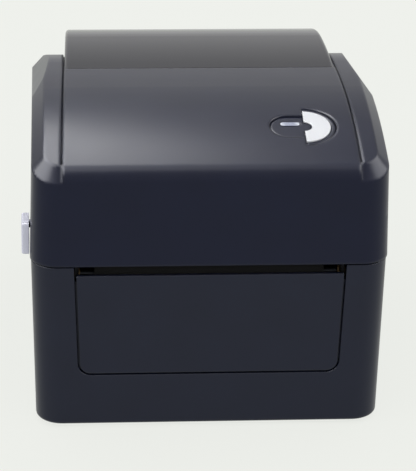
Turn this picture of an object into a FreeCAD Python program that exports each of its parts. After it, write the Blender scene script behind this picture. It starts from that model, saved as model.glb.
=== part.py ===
import FreeCAD, Part
import math
import os

# Desktop thermal label printer, in millimetres. +Z is up, -Y is the front, and the origin is on the
# floor under the middle of the whole outline.

V = FreeCAD.Vector

# Case
WIDTH = 178.0             # across the lid's sides at the seam
BODY_DEPTH = 211.5        # front face to rear face
CREST_Z = 154.9           # floor to the highest line of the lid
BASE_TOP = 89.3           # floor to the rim of the base
SEAM_GAP = 0.8            # dark gap between base and lid
BASE_STEP_IN = 0.5        # the base's rim stands this far inside the lid's edge
WALL = 2.6                # moulded walls of base and lid
FLOOR_T = 2.6             # floor of the base
CORNER_R = 13.4           # corners of the case, seen from above
LID_DRAFT = 1.6           # degrees, lid sides
BASE_SIDE_DRAFT = 1.0     # degrees
BASE_FRONT_DRAFT = 0.56   # degrees
BASE_EDGE_R = 2.0         # round on the base's lower edge

# Lid top: a front arc, a flatter top arc and a rear bend that runs out in a straight slope
PANEL_FRONT_Z = 140.0     # height at which the front face and the top arc would meet
CREST_SETBACK = 77.5      # front face to the crest
TOP_R = 500.0             # top arc behind the crest
BEND_SETBACK = 121.5      # front face to the start of the rear bend
BEND_R = 118.0
REAR_SLOPE = 22.0         # degrees
RIM_RUN = 5.8             # chamfer of the rim, across
RIM_DROP = 6.0            # chamfer of the rim, down
SHOULDER_FRONT = 82.0     # front face to the start of the bevel on each rear shoulder
SHOULDER_RUN = 6.8        # bevel where the rear bend ends, across
SHOULDER_DROP = 9.5       # bevel where the rear bend ends, down

# Raised centre panel and the window behind it
RAIL_W = 16.4             # lid's side to the panel, at the front face
PANEL_TAPER = 0.97        # degrees each side, narrower towards the rear
PANEL_STEP = 0.5          # the panel stands this far above the rails
PANEL_EDGE_R = 8.0        # round from the front face to the panel
GROOVE_W = 1.0            # shadow groove along the panel
GROOVE_D = 1.3
CREASE_SETBACK = 107.5    # front face to the joint of panel and window
WINDOW_JOINT = 0.4        # open joint between panel and window
WINDOW_RISE = 1.5         # degrees, the window starts uphill
WINDOW_TOP_R = 450.0
WINDOW_BREAK = 55.0       # joint to the end of the top arc
WINDOW_REAR_R = 129.0
WINDOW_END_R = 18.0
WINDOW_INSET = 2.0        # lid's rear face to the window's rear face
WINDOW_WALL = 2.2
WINDOW_EDGE_R = 2.0
WINDOW_INNER_R = 1.0
WINDOW_SEAT = 3.0         # width of lid left under the window's walls

# Front panel and label exit
DOOR_TOP = 84.7
DOOR_BOTTOM = 30.8
DOOR_SIDE = 22.8          # case's side to the front panel's top corner
DOOR_TAPER = 1.7          # each side, narrower at the bottom
DOOR_CORNER_R = 5.5
DOOR_GAP = 1.1            # groove round the front panel
DOOR_T = 2.4
LEDGE_T = 2.0             # rim behind the front panel
LEDGE_W = 4.0

# Feet
FOOT_H = 1.6              # clear height under the base
FOOT_R = 7.0
FOOT_RECESS = 1.2
FOOT_INSET = 24.0         # from the case's sides, front and rear

# Rear hinge
HINGE_R = 3.5
HINGE_PIN_R = 1.5
HINGE_CLEAR = 0.4
KNUCKLE_GAP = 0.3
EAR_W = 4.0
KNUCKLE_W = 9.4
HINGE_IN = 19.5           # case's side to the middle of each hinge

# Running and seating clearances
RUN_FIT = 0.05            # radial, shaft in bore
SLIDE_FIT = 0.2           # each side of a sliding stem
FLAT_FIT = 0.3            # between flat faces that slide past each other

# Platen and gears
PLATEN_SETBACK = 16.5     # front face to the platen axis
PLATEN_Z = 79.0
PLATEN_R = 8.0
PLATEN_END = 8.0          # roller's end to the frame
PLATEN_SHAFT_R = 3.0
BUSH_R = 5.0
BUSH_FLANGE_R = 6.0
BUSH_FLANGE_T = 0.8
BUSH_OUT = 1.5            # bush stands out of the frame
GEAR_MODULE = 0.8
PRESSURE_ANGLE = 25.0
BACKLASH = 0.12
DEDENDUM = 1.25           # tooth root below the pitch line, in modules
GEAR_W = 4.0
GEAR_STANDOFF = 2.0       # frame to the first gear
GEAR_STEP = 0.6           # first gear row to the second
PLATEN_TEETH = 24
SMALL_TEETH = 14
LARGE_TEETH = 40
PINION_TEETH = 12
REDUCTION_ANGLE = -70.0   # degrees, platen axis to reduction axis
MOTOR_ANGLE = -60.0       # degrees, reduction axis to motor axis
REDUCTION_PIN_R = 2.0
REDUCTION_HUB_R = 4.0
REDUCTION_HEAD_R = 4.0

# Side frames and motor
FRAME_T = 2.0
FRAME_SETBACK = 6.5       # front face to the frames' front edge
FRAME_LENGTH = 39.0
FRAME_FOOT_Z = 24.0
FRAME_TOP = 87.5
FRAME_FLANGE = 12.0
MOTOR_R = 17.5
MOTOR_L = 22.0
MOTOR_SHAFT_R = 2.5
MOTOR_SHAFT_IN = 8.0
MOTOR_EAR_R = 4.0
MOTOR_EAR_T = 2.0
MOTOR_HOLE_PITCH = 42.0
MOTOR_EAR_ANGLE = 62.0    # degrees, line of the two ears

# Media tray
TRAY_T = 2.4
TRAY_CLEAR = 0.6          # tray to the base's walls
DECK_Z = 85.5             # top of the front deck
DECK_SETBACK = 25.5       # front face to the deck's front edge
REAR_DECK_Z = 80.0
TROUGH_FRONT = 81.5       # front face to the trough's front edge
TROUGH_REAR = 18.9        # rear wall to the trough's rear edge
ROLL_Z = 76.0
TROUGH_DROP = 51.6        # roll's axis to the trough's floor
FLAT_HALF = 16.0          # half of the trough's flat floor
FANFOLD_IN = 33.0         # case's side to the rear paper slot
FANFOLD_SILL = 81.0

# Sliding roll holders and label guides, each pair on racks and one pinion
RACK_MODULE = 0.8
RACK_TEETH = 20
RACK_H = 3.6
RACK_BACK = 4.0
RACK_OVERRUN = 6.0        # rack past the pinion's axis and past its carriage
STEM_T = 3.0
STEM_L = 8.0
RACK_PIN_R = 2.0
COVER_T = 2.0
COVER_RAIL = 3.0
HOLDER_IN = 8.0           # frame to the inner face of a roll holder at rest
HOLDER_TRAVEL = 36.0
HOLDER_ARM_T = 4.0
HOLDER_FOOT = 13.0
HOLDER_FOOT_T = 2.7
HOLDER_TOP_R = 14.0
HUB_R = 12.3
HUB_L = 9.0
HUB_CHAMFER = 3.0
HUB_HOLLOW_R = 7.8
GUIDE_IN = 10.0           # frame to the inner face of a label guide at rest
GUIDE_TRAVEL = 38.0
GUIDE_SETBACK = 62.2      # front face to the guides' pinion
GUIDE_FIN_T = 2.0
GUIDE_FIN_H = 9.5
GUIDE_FIN_ROUND = 4.5
GUIDE_FOOT = 8.0
GUIDE_FOOT_T = 1.8
GUIDE_LENGTH = 26.0

# Media sensor
SENSOR_SETBACK = 33.5
SENSOR_W = 4.0            # slot in the deck
SENSOR_L = 12.0
SENSOR_LIP = 1.2
SENSOR_LIP_T = 0.6
SENSOR_BODY_T = 4.0
SENSOR_TRAVEL = 36.0      # each way from the middle

# Print head
HEAD_GAP = 0.3            # head to platen, room for the label
HEAD_OVER = 1.0           # head past each end of the roller
HEAD_FRONT = 9.0          # ahead of the platen axis
HEAD_REAR = 9.0
HEAD_T = 1.2
SINK_T = 6.0
SINK_REAR = 12.0
SINK_FINS = 5
SINK_FIN_D = 2.0
SINK_FIN_W = 1.6
PIVOT_REAR = 15.5         # platen axis to the head's pivot
PIVOT_RISE = 14.0
PIVOT_R = 1.5
HEAD_EAR_IN = 8.0         # head's end to the middle of its ear
HEAD_EAR_T = 4.0
HEAD_EAR_R = 3.4
BRACKET_T = 1.2
BRACKET_RISE = 5.5        # heat sink to the bracket's underside
BRACKET_END = 3.0         # bracket to the frame
SPRING_WIRE = 0.7
SPRING_R = 2.6
SPRING_TURNS = 3
SPRING_IN = 5.0           # ear to the spring
SPRING_AHEAD = 2.0        # ahead of the platen axis
BRACKET_POST_X = 30.0
BRACKET_POST_AHEAD = 3.0
BRACKET_POST_R = 4.0

# Lid's inner frame and latch
INNER_Z = 107.8           # underside of the lid's inner frame
INNER_T = 2.4
INNER_LENGTH = 43.5
INNER_CLEAR = 0.6
LATCH_SETBACK = 21.8      # front face to the latch shaft
LATCH_Z = 104.2
LATCH_R = 2.0
LATCH_WALL_CLEAR = 0.4
CHEEK_GAP = 6.5           # cheek to the hook
CHEEK_T = 4.0
CHEEK_HALF = 5.0
CHEEK_DROP = 7.3
HOOK_WALL_CLEAR = 2.4     # hook to the base's side
HOOK_GEAR_CLEAR = 1.9     # hook to the gears
HOOK_T = 4.0
HOOK_EYE_R = 3.3
HOOK_HALF = 2.3
HOOK_DROP = 25.0          # shaft to the hook's lower end
HOOK_NOSE = 1.6
HOOK_NOSE_T = 2.8
POST_R = 2.0
POST_CLEAR = 0.3          # hook's nose to the post
POST_Z = 84.5
TAB_LENGTH = 14.6
TAB_HEIGHT = 16.6
TAB_T = 3.7
TAB_OFF = 0.3             # tab to the lid's side
TAB_RISE = 0.5            # tab's lower end above the lid's edge
TAB_EDGE_R = 1.0
LATCH_SPRING_R = 2.75
LATCH_SPRING_TURNS = 4
LATCH_SPRING_PITCH = 1.5
TEAR_T = 1.0
TEAR_H = 7.0
TEAR_OVER = 3.0           # tear bar past each end of the roller
TEAR_PITCH = 2.5
TEAR_TOOTH = 1.2

# Feed button on the lid
BUTTON_IN = 41.7          # lid's side to the button
BUTTON_SETBACK = 33.9
BUTTON_R = 13.35
BUTTON_CORE_R = 4.1
BUTTON_GAP = 0.25
BUTTON_LOW = 0.2          # top of the button below the panel
BUTTON_T = 3.6
BUTTON_TRAVEL = 0.7
BEZEL_R = 16.2
LOBE_R = 9.4
LOBE_X = 7.7
BEZEL_LOW = 0.8           # top of the bezel below the panel
BEZEL_FIT = 0.15
BEZEL_FLANGE = 1.5
BEZEL_FLANGE_T = 1.2
PAD_R = 21.0
PAD_D = 5.0               # underside of the pad below the panel
LENS_L = 9.5
LENS_W = 2.8
LENS_X = 6.75
LENS_UP = 2.6             # above the lobe's middle
BOARD_T = 1.6
BUTTON_BOARD_D = 9.2      # top of the button's board below the panel
SWITCH_CAP = 1.0          # height of the push switch on that board
BUTTON_STOP = 0.1         # left over when the button is fully in
BUTTON_BOARD_L = 50.0
BUTTON_BOARD_W = 22.0
BUTTON_POST_R = 3.0

# Electrics at the rear
BOARD_Z = 9.0
BOARD_HALF = 50.0
BOARD_FRONT = 52.0        # rear wall to the board's front edge
BOARD_CHIPS = (           # across, behind the front edge, half size, height
    (-18.0, 13.0, 11.0, 1.5),
    (12.0, 13.0, 6.0, 1.5),
    (-30.0, 31.0, 6.0, 1.2),
    (26.0, 13.0, 3.0, 5.0),
)
BOARD_CANS = ((-14.0, 31.0), (-4.0, 31.0))
CAN_R = 2.8
CAN_H = 7.5
SOCKET_H = 11.0
USB_X = 10.0
USB_W = 12.0
USB_L = 16.0
USB_BORE_W = 8.5
USB_BORE_H = 7.8
USB_BORE_D = 9.0
USB_TONGUE_W = 5.6
USB_TONGUE_H = 3.2
DC_X = 32.0
DC_W = 9.0
DC_L = 14.0
DC_BORE_R = 3.2
DC_BORE_D = 9.5
DC_PIN_R = 1.0
CONTACT_IN = 1.0          # socket's mouth to its tongue or pin
SOCKET_GAP = 0.2
ROCKER_X = -48.0
ROCKER_Z = 30.0
SWITCH_W = 21.0
SWITCH_H = 15.0
SWITCH_FLANGE_T = 1.8
SWITCH_BODY_L = 15.0
SWITCH_LIP = 1.0
ROCKER_W = 14.4
ROCKER_H = 9.0
ROCKER_GAP = 0.5
ROCKER_DEEP = 2.2
ROCKER_RISE = 1.6
ROCKER_DIP = 1.2
ROCKER_TILT = 8.0         # degrees, resting in its off position
ROCKER_PIN_R = 1.2
ROCKER_POCKET = 4.2

# Screws and bosses
SCREW_R = 1.5
SCREW_HEAD_R = 2.8
SCREW_HEAD_T = 1.8
SCREW_L = 10.0
BOSS_R = 4.5
LID_BOSS_FRONT_IN = 34.0
LID_BOSS_FRONT = 10.5
LID_BOSS_REAR_IN = 11.5
LID_BOSS_REAR = 41.5
TRAY_BOSS_IN = 13.0
TRAY_BOSS_FRONT = 58.5
TRAY_BOSS_REAR = 12.0

# Places worked out from the sizes above
FRONT_Y = -(BODY_DEPTH + HINGE_R) / 2
REAR_Y = FRONT_Y + BODY_DEPTH
LID_BOTTOM = BASE_TOP + SEAM_GAP
CREST_Y = FRONT_Y + CREST_SETBACK
CREASE_Y = FRONT_Y + CREASE_SETBACK
BEND_Y = FRONT_Y + BEND_SETBACK
HINGE_Z = BASE_TOP + SEAM_GAP / 2
PLATEN_Y = FRONT_Y + PLATEN_SETBACK
GUIDE_Y = FRONT_Y + GUIDE_SETBACK
SENSOR_Y = FRONT_Y + SENSOR_SETBACK
LATCH_Y = FRONT_Y + LATCH_SETBACK
FRAME_Y0 = FRONT_Y + FRAME_SETBACK
FRAME_Y1 = FRAME_Y0 + FRAME_LENGTH
FLOOR_Z = FOOT_H + FLOOR_T
SIDE_X = WIDTH / 2
HOOK_X = SIDE_X - BASE_STEP_IN - WALL - HOOK_WALL_CLEAR - HOOK_T
CHEEK_X = HOOK_X - CHEEK_GAP - CHEEK_T
GEAR_END = HOOK_X - HOOK_GEAR_CLEAR
GEAR_ROW_B = GEAR_END - GEAR_W
GEAR_ROW_A = GEAR_ROW_B - GEAR_STEP - GEAR_W
FRAME_HALF = GEAR_ROW_A - GEAR_STANDOFF - FRAME_T
PLATEN_HALF = FRAME_HALF - PLATEN_END
HEAD_HALF = PLATEN_HALF + HEAD_OVER
EAR_HALF = HEAD_HALF - HEAD_EAR_IN
SPRING_X = EAR_HALF - SPRING_IN
BRACKET_HALF = FRAME_HALF - BRACKET_END
TEAR_HALF = PLATEN_HALF + TEAR_OVER
HOLDER_X = FRAME_HALF - HOLDER_IN
GUIDE_X = FRAME_HALF - GUIDE_IN
PANEL_HALF = SIDE_X - RAIL_W
DOOR_TOP_HALF = SIDE_X - DOOR_SIDE
DOOR_BOTTOM_HALF = DOOR_TOP_HALF - DOOR_TAPER
HINGE_X = SIDE_X - HINGE_IN
FANFOLD_HALF = SIDE_X - FANFOLD_IN
BUTTON_X = SIDE_X - BUTTON_IN
LID_BOSS_FRONT_X = SIDE_X - LID_BOSS_FRONT_IN
LID_BOSS_REAR_X = SIDE_X - LID_BOSS_REAR_IN
TRAY_BOSS_X = SIDE_X - TRAY_BOSS_IN
HEAD_Z = PLATEN_Z + PLATEN_R + HEAD_GAP
SINK_Z = HEAD_Z + HEAD_T
SINK_TOP = SINK_Z + SINK_T
BRACKET_Z = SINK_TOP + BRACKET_RISE
PIVOT_Y = PLATEN_Y + PIVOT_REAR
PIVOT_Z = PLATEN_Z + PIVOT_RISE
RACK_PITCH_R = RACK_MODULE * RACK_TEETH / 2
BASE_REAR = REAR_Y - BASE_STEP_IN
REAR_INSIDE = BASE_REAR - WALL
TROUGH_Y0 = FRONT_Y + TROUGH_FRONT
TROUGH_Y1 = REAR_INSIDE - TROUGH_REAR
ROLL_Y = (TROUGH_Y0 + TROUGH_Y1) / 2
TROUGH_FLOOR = ROLL_Z - TROUGH_DROP
TROUGH_RUN = (TROUGH_Y1 - TROUGH_Y0) / 2 - FLAT_HALF
TROUGH_R = (TROUGH_RUN ** 2 + TROUGH_DROP ** 2) / (2 * TROUGH_RUN)
SIDE_SHIFT = (TAB_OFF + TAB_T) / 2
SIDES = (-1, 1)
FLANK_STEPS = 4           # straight runs in a tooth's flank
COIL_POINTS = 72          # points per turn for measuring a spring
FAR = 2 * WIDTH           # past the object on every side
TINY = 0.05               # for telling edges apart


def polar(y, z, length, degrees):
    """The point at a distance and angle from (y, z), in the side view."""
    angle = math.radians(degrees)
    return y + length * math.cos(angle), z + length * math.sin(angle)


REDUCTION_Y, REDUCTION_Z = polar(
    PLATEN_Y, PLATEN_Z, GEAR_MODULE * (PLATEN_TEETH + SMALL_TEETH) / 2, REDUCTION_ANGLE)
MOTOR_Y, MOTOR_Z = polar(
    REDUCTION_Y, REDUCTION_Z, GEAR_MODULE * (LARGE_TEETH + PINION_TEETH) / 2, MOTOR_ANGLE)


# Shape helpers

def box(x0, x1, y0, y1, z0, z1):
    return Part.makeBox(x1 - x0, y1 - y0, z1 - z0, V(x0, y0, z0))


def cyl_x(x0, x1, y, z, r):
    return Part.makeCylinder(r, x1 - x0, V(x0, y, z), V(1, 0, 0))


def cyl_y(y0, y1, x, z, r):
    return Part.makeCylinder(r, y1 - y0, V(x, y0, z), V(0, 1, 0))


def cyl_z(z0, z1, x, y, r):
    return Part.makeCylinder(r, z1 - z0, V(x, y, z0), V(0, 0, 1))


def fuse(shapes):
    first, *rest = shapes
    return first.multiFuse(rest).removeSplitter() if rest else first


def mirrored(shape):
    return shape.mirror(V(0, 0, 0), V(1, 0, 0))


def on_side(side, shape):
    """A shape modelled on the right, or its mirror image on the left."""
    return shape if side > 0 else mirrored(shape)


def prism(points, direction):
    """A straight prism over a closed polygon."""
    wire = Part.makePolygon(list(points) + [points[0]])
    return Part.Face(wire).extrude(direction)


def side_prism(points, x0, x1):
    """A prism across X over a polygon of (y, z) points."""
    return prism([V(x0, y, z) for y, z in points], V(x1 - x0, 0, 0))


def screw(x, y, seat, length):
    """A pan-head screw with its head under the height seat and its shank going up."""
    head = cyl_z(seat - SCREW_HEAD_T, seat, x, y, SCREW_HEAD_R)
    return fuse([head, cyl_z(seat, seat + length, x, y, SCREW_R)])


def screw_down(x, y, seat, length):
    """A pan-head screw with its head on the height seat and its shank going down."""
    body = screw(x, y, seat, length)
    body.rotate(V(x, y, seat), V(1, 0, 0), 180)
    return body


# Case forms

def rounded_plan(half, y0, y1, r, z):
    """A rounded rectangle, seen from above."""
    k = r * (1 - math.sqrt(0.5))
    corners = ((half, y0, -1, 1), (half, y1, -1, -1), (-half, y1, 1, -1), (-half, y0, 1, 1))
    edges = []
    ends = []
    for x, y, sx, sy in corners:
        along_y = V(x, y + sy * r, z)
        along_x = V(x + sx * r, y, z)
        middle = V(x + sx * k, y + sy * k, z)
        first, last = (along_x, along_y) if sx * sy < 0 else (along_y, along_x)
        edges.append(Part.Arc(first, middle, last).toShape())
        ends.append((first, last))
    for i in range(len(ends)):
        edges.append(Part.makeLine(ends[i - 1][1], ends[i][0]))
    return Part.Wire(Part.__sortEdges__(edges))


def base_form(inset, z0, z1):
    """The base's outer form, moved inwards by inset, between two heights."""
    plans = []
    for z in (z0, z1):
        fall = BASE_TOP - z
        half = SIDE_X - BASE_STEP_IN - fall * math.tan(math.radians(BASE_SIDE_DRAFT)) - inset
        front = FRONT_Y + BASE_STEP_IN + fall * math.tan(math.radians(BASE_FRONT_DRAFT)) + inset
        plans.append(rounded_plan(half, front, BASE_REAR - inset, CORNER_R - inset, z))
    return Part.makeLoft(plans, True, True)


def arcs_after(start, angle, runs):
    """Edges of tangent arcs that bend down from start; each run is a radius and its last slope."""
    edges = []
    for radius, last in runs:
        def point(t):
            return V(0, start.y + radius * (math.sin(t) - math.sin(angle)),
                     start.z + radius * (math.cos(t) - math.cos(angle)))
        middle = point((angle + last) / 2)
        end = point(last)
        edges.append(Part.Arc(start, middle, end).toShape())
        start = end
        angle = last
    return edges, start


def front_radius(top):
    rise = top - PANEL_FRONT_Z
    return (CREST_SETBACK ** 2 + rise ** 2) / (2 * rise)


def rear_arcs(top, inset):
    """The lid's top line from the crest to the end of the rear bend, and that end."""
    bend = math.asin((BEND_Y - CREST_Y) / TOP_R)
    runs = [(TOP_R - inset, bend), (BEND_R - inset, math.radians(REAR_SLOPE))]
    return arcs_after(V(0, CREST_Y, top - inset), 0, runs)


def top_edges(top, inset, over):
    """The lid's top line in the side view, from ahead of the front face to behind the rear face."""
    radius = front_radius(top) - inset
    crest = V(0, CREST_Y, top - inset)

    def ahead(y):
        return V(0, y, crest.z - radius + math.sqrt(radius ** 2 - (y - CREST_Y) ** 2))
    first = ahead(FRONT_Y - over)
    front = Part.Arc(first, ahead((FRONT_Y + CREST_Y) / 2), crest).toShape()
    rear, end = rear_arcs(top, inset)
    last_y = REAR_Y + over
    last = V(0, last_y, end.z - (last_y - end.y) * math.tan(math.radians(REAR_SLOPE)))
    return [front] + rear + [Part.makeLine(end, last)], first, last


def under_top(top, inset, over, low):
    """Everything below the lid's top line, over the whole width."""
    edges, first, last = top_edges(top, inset, over)
    low_last = V(0, last.y, low)
    low_first = V(0, first.y, low)
    edges.append(Part.makeLine(last, low_last))
    edges.append(Part.makeLine(low_last, low_first))
    edges.append(Part.makeLine(low_first, first))
    bar = Part.Face(Part.Wire(edges)).extrude(V(2 * FAR, 0, 0))
    bar.translate(V(-FAR, 0, 0))
    return bar


def lid_block(inset, low):
    """The lid's drafted sides, moved inwards by inset and open-ended upwards."""
    lean = math.tan(math.radians(LID_DRAFT))
    plans = []
    for z in (low, CREST_Z + CORNER_R):
        half = SIDE_X - (z - LID_BOTTOM) * lean - inset
        plans.append(rounded_plan(half, FRONT_Y + inset, REAR_Y - inset, CORNER_R - inset, z))
    return Part.makeLoft(plans, True, True)


def shoulder_cut(inset):
    """What the bevel takes off the lid's right rear shoulder."""
    rails = CREST_Z - PANEL_STEP
    half = SIDE_X - (rails - LID_BOTTOM) * math.tan(math.radians(LID_DRAFT))
    _, end = rear_arcs(rails, 0)
    inner = V(half - SHOULDER_RUN, end.y, end.z)
    outer = V(half, end.y, end.z - SHOULDER_DROP)
    front = V(half, FRONT_Y + SHOULDER_FRONT, rails - RIM_DROP)
    outwards = (inner - outer).cross(front - outer)
    block = Part.makeBox(2 * FAR, 2 * FAR, FAR, V(-FAR, -FAR, -inset))
    block.Placement = FreeCAD.Placement(outer, FreeCAD.Rotation(V(0, 0, 1), outwards))
    return block


def lid_form(inset, low):
    """The lid without its raised panel, with the chamfered rim."""
    body = lid_block(inset, low).common(under_top(CREST_Z - PANEL_STEP, inset, CORNER_R, low - WALL))
    rim = []
    for edge in body.Edges:
        bounds = edge.BoundBox
        across = bounds.YLength < TINY and abs(bounds.Center.x) < TINY
        inside = across and FRONT_Y + CORNER_R < bounds.Center.y < REAR_Y - CORNER_R
        if bounds.ZMin > low + WALL and not inside:
            rim.append(edge)
    shoulder = shoulder_cut(inset)
    return body.makeChamfer(RIM_DROP, RIM_RUN, rim).cut([shoulder, mirrored(shoulder)])


def panel_half(y):
    return PANEL_HALF - (y - FRONT_Y) * math.tan(math.radians(PANEL_TAPER))


def panel_plan(y0, y1, grow, z0, z1):
    """A block over the panel's tapering plan."""
    points = [V(side * (panel_half(y) + grow), y, z0)
              for side, y in ((-1, y0), (1, y0), (1, y1), (-1, y1))]
    return prism(points, V(0, 0, z1 - z0))


def panel_block():
    """The raised centre panel, solid, with its rounded front edge."""
    plan = panel_plan(FRONT_Y, CREASE_Y - WINDOW_JOINT, 0, LID_BOTTOM, CREST_Z + CORNER_R)
    block = plan.common(under_top(CREST_Z, 0, CORNER_R, LID_BOTTOM - WALL))
    front = [e for e in block.Edges
             if e.BoundBox.YMax < FRONT_Y + TINY and e.BoundBox.ZMin > PANEL_FRONT_Z - WALL]
    return block.makeFillet(PANEL_EDGE_R, front)


def panel_grooves():
    """The shadow grooves along the panel's sides, up to the window's end."""
    strip = panel_plan(FRONT_Y, REAR_Y, GROOVE_W, LID_BOTTOM, CREST_Z + CORNER_R)
    strip = strip.cut(panel_plan(FRONT_Y, REAR_Y, 0, LID_BOTTOM, CREST_Z + CORNER_R))
    strip = strip.cut(under_top(CREST_Z - PANEL_STEP, GROOVE_D, CORNER_R, LID_BOTTOM - WALL))
    front_face = box(-FAR, FAR, FRONT_Y - WALL, FRONT_Y + RIM_RUN, 0, CREST_Z - PANEL_STEP - RIM_DROP)
    return strip.cut(front_face)


def panel_top(y):
    """Height and slope (degrees) of the panel ahead of the crest."""
    radius = front_radius(CREST_Z)
    drop = radius - math.sqrt(radius ** 2 - (y - CREST_Y) ** 2)
    return CREST_Z - drop, math.degrees(math.asin((CREST_Y - y) / radius))


def window_solid(inset):
    """The window's form as a solid block that reaches down to the seam."""
    start_y = CREASE_Y
    start_z = CREST_Z - (TOP_R - math.sqrt(TOP_R ** 2 - (CREASE_Y - CREST_Y) ** 2))
    rise = -math.radians(WINDOW_RISE)
    rear_y = REAR_Y - WINDOW_INSET
    first = math.asin(math.sin(rise) + WINDOW_BREAK / WINDOW_TOP_R)
    reach = rear_y - start_y - WINDOW_BREAK
    second = math.asin((reach + WINDOW_REAR_R * math.sin(first) - WINDOW_END_R)
                       / (WINDOW_REAR_R - WINDOW_END_R))
    start = V(0, start_y - inset * math.sin(rise), start_z - inset * math.cos(rise))
    runs = [(WINDOW_TOP_R - inset, first), (WINDOW_REAR_R - inset, second),
            (WINDOW_END_R - inset, math.pi / 2)]
    edges, end = arcs_after(start, rise, runs)
    low_end = V(0, end.y, LID_BOTTOM)
    low_start = V(0, start.y, LID_BOTTOM)
    edges.append(Part.makeLine(end, low_end))
    edges.append(Part.makeLine(low_end, low_start))
    edges.append(Part.makeLine(low_start, start))
    bar = Part.Face(Part.Wire(edges)).extrude(V(2 * FAR, 0, 0))
    bar.translate(V(-FAR, 0, 0))
    block = bar.common(panel_plan(start.y, end.y, -inset, LID_BOTTOM - WALL, CREST_Z + CORNER_R))
    radius = WINDOW_INNER_R if inset else WINDOW_EDGE_R
    long_edges = [e for e in block.Edges
                  if e.BoundBox.YLength > TINY and e.BoundBox.XLength < CORNER_R
                  and e.BoundBox.ZMin > LID_BOTTOM + WALL]
    return block.makeFillet(radius, long_edges)


# Gears, racks and springs

def gear_outline(teeth, module, tooth_at):
    """The outline of an involute spur gear about the origin, as (u, v) points; tooth_at is in degrees."""
    alpha = math.radians(PRESSURE_ANGLE)
    pitch = module * teeth / 2
    base = pitch * math.cos(alpha)
    tip = pitch + module
    root = pitch - DEDENDUM * module
    half = math.pi / (2 * teeth) - BACKLASH / (2 * pitch)
    flare = math.tan(alpha) - alpha
    low = max(base, root)
    flank = []
    for i in range(FLANK_STEPS + 1):
        r = low + (tip - low) * i / FLANK_STEPS
        turn = math.acos(min(1.0, base / r))
        flank.append((r, half + flare - (math.tan(turn) - turn)))
    points = []
    for n in range(teeth):
        centre = math.radians(tooth_at) + 2 * math.pi * n / teeth
        side = [(root, flank[0][1])] + flank
        for r, a in side:
            points.append((r, centre - a))
        for r, a in reversed(side):
            points.append((r, centre + a))
    return [(r * math.cos(a), r * math.sin(a)) for r, a in points]


def gear_x(teeth, x0, y, z, tooth_at, bore):
    """A gear that turns about X."""
    outline = gear_outline(teeth, GEAR_MODULE, tooth_at)
    body = side_prism([(y + u, z + v) for u, v in outline], x0, x0 + GEAR_W)
    return body.cut(cyl_x(x0 - GEAR_W, x0 + 2 * GEAR_W, y, z, bore))


def rack_pinion(y, top):
    """The pinion between two racks, which turns about Z."""
    outline = gear_outline(RACK_TEETH, RACK_MODULE, 90)
    body = prism([V(u, y + v, top - RACK_H) for u, v in outline], V(0, 0, RACK_H))
    return body.cut(cyl_z(top - 2 * RACK_H, top + RACK_H, 0, y, RACK_PIN_R + RUN_FIT))


def rack(side, y, top, carriage_x, stem_top):
    """A toothed bar under a floor, with the stem that carries a sliding piece above it."""
    pitch = math.pi * RACK_MODULE
    lean = math.tan(math.radians(PRESSURE_ANGLE)) * RACK_MODULE
    half = pitch / 4 - BACKLASH / 2
    tip = RACK_PITCH_R - RACK_MODULE
    root = RACK_PITCH_R + DEDENDUM * RACK_MODULE
    x0 = -RACK_OVERRUN
    x1 = carriage_x + RACK_OVERRUN
    bar = box(x0, x1, y + root, y + root + RACK_BACK, top - RACK_H, top)
    pieces = [bar]
    first = math.ceil(x0 / pitch)
    last = math.floor(x1 / pitch)
    for n in range(first, last):
        x = (n + 0.5) * pitch
        outline = ((x - half - DEDENDUM * lean, root), (x - half + lean, tip),
                   (x + half - lean, tip), (x + half + DEDENDUM * lean, root))
        pieces.append(prism([V(u, y + v, top - RACK_H) for u, v in outline], V(0, 0, RACK_H)))
    stem_y = y + root + (RACK_BACK - STEM_T) / 2
    pieces.append(box(carriage_x - STEM_L / 2, carriage_x + STEM_L / 2,
                      stem_y, stem_y + STEM_T, top, stem_top))
    body = fuse(pieces)
    if side < 0:
        body.rotate(V(0, y, 0), V(0, 0, 1), 180)
    return body


def rack_slot(side, y, carriage_x, travel, z0, z1):
    """The slot in a floor that a rack's stem runs in."""
    stem_y = y + RACK_PITCH_R + DEDENDUM * RACK_MODULE + (RACK_BACK - STEM_T) / 2
    slot = box(carriage_x - travel - STEM_L / 2 - SLIDE_FIT, carriage_x + STEM_L / 2 + SLIDE_FIT,
               stem_y - SLIDE_FIT, stem_y + STEM_T + SLIDE_FIT, z0, z1)
    if side < 0:
        slot.rotate(V(0, y, 0), V(0, 0, 1), 180)
    return slot


def rack_cover(y, floor_under, carriage_x):
    """The plate under a pair of racks, with its guide rails and the pinion's pin."""
    half = carriage_x + RACK_OVERRUN + COVER_RAIL
    reach = RACK_PITCH_R + DEDENDUM * RACK_MODULE + RACK_BACK + FLAT_FIT
    top = floor_under - 2 * FLAT_FIT - RACK_H
    pieces = [box(-half, half, y - reach - COVER_RAIL, y + reach + COVER_RAIL, top - COVER_T, top)]
    for side in SIDES:
        inner = y + side * reach
        outer = inner + side * COVER_RAIL
        pieces.append(box(-half, half, min(inner, outer), max(inner, outer), top, floor_under))
    pieces.append(cyl_z(top, floor_under - FLAT_FIT, 0, y, RACK_PIN_R))
    return fuse(pieces)


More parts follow.
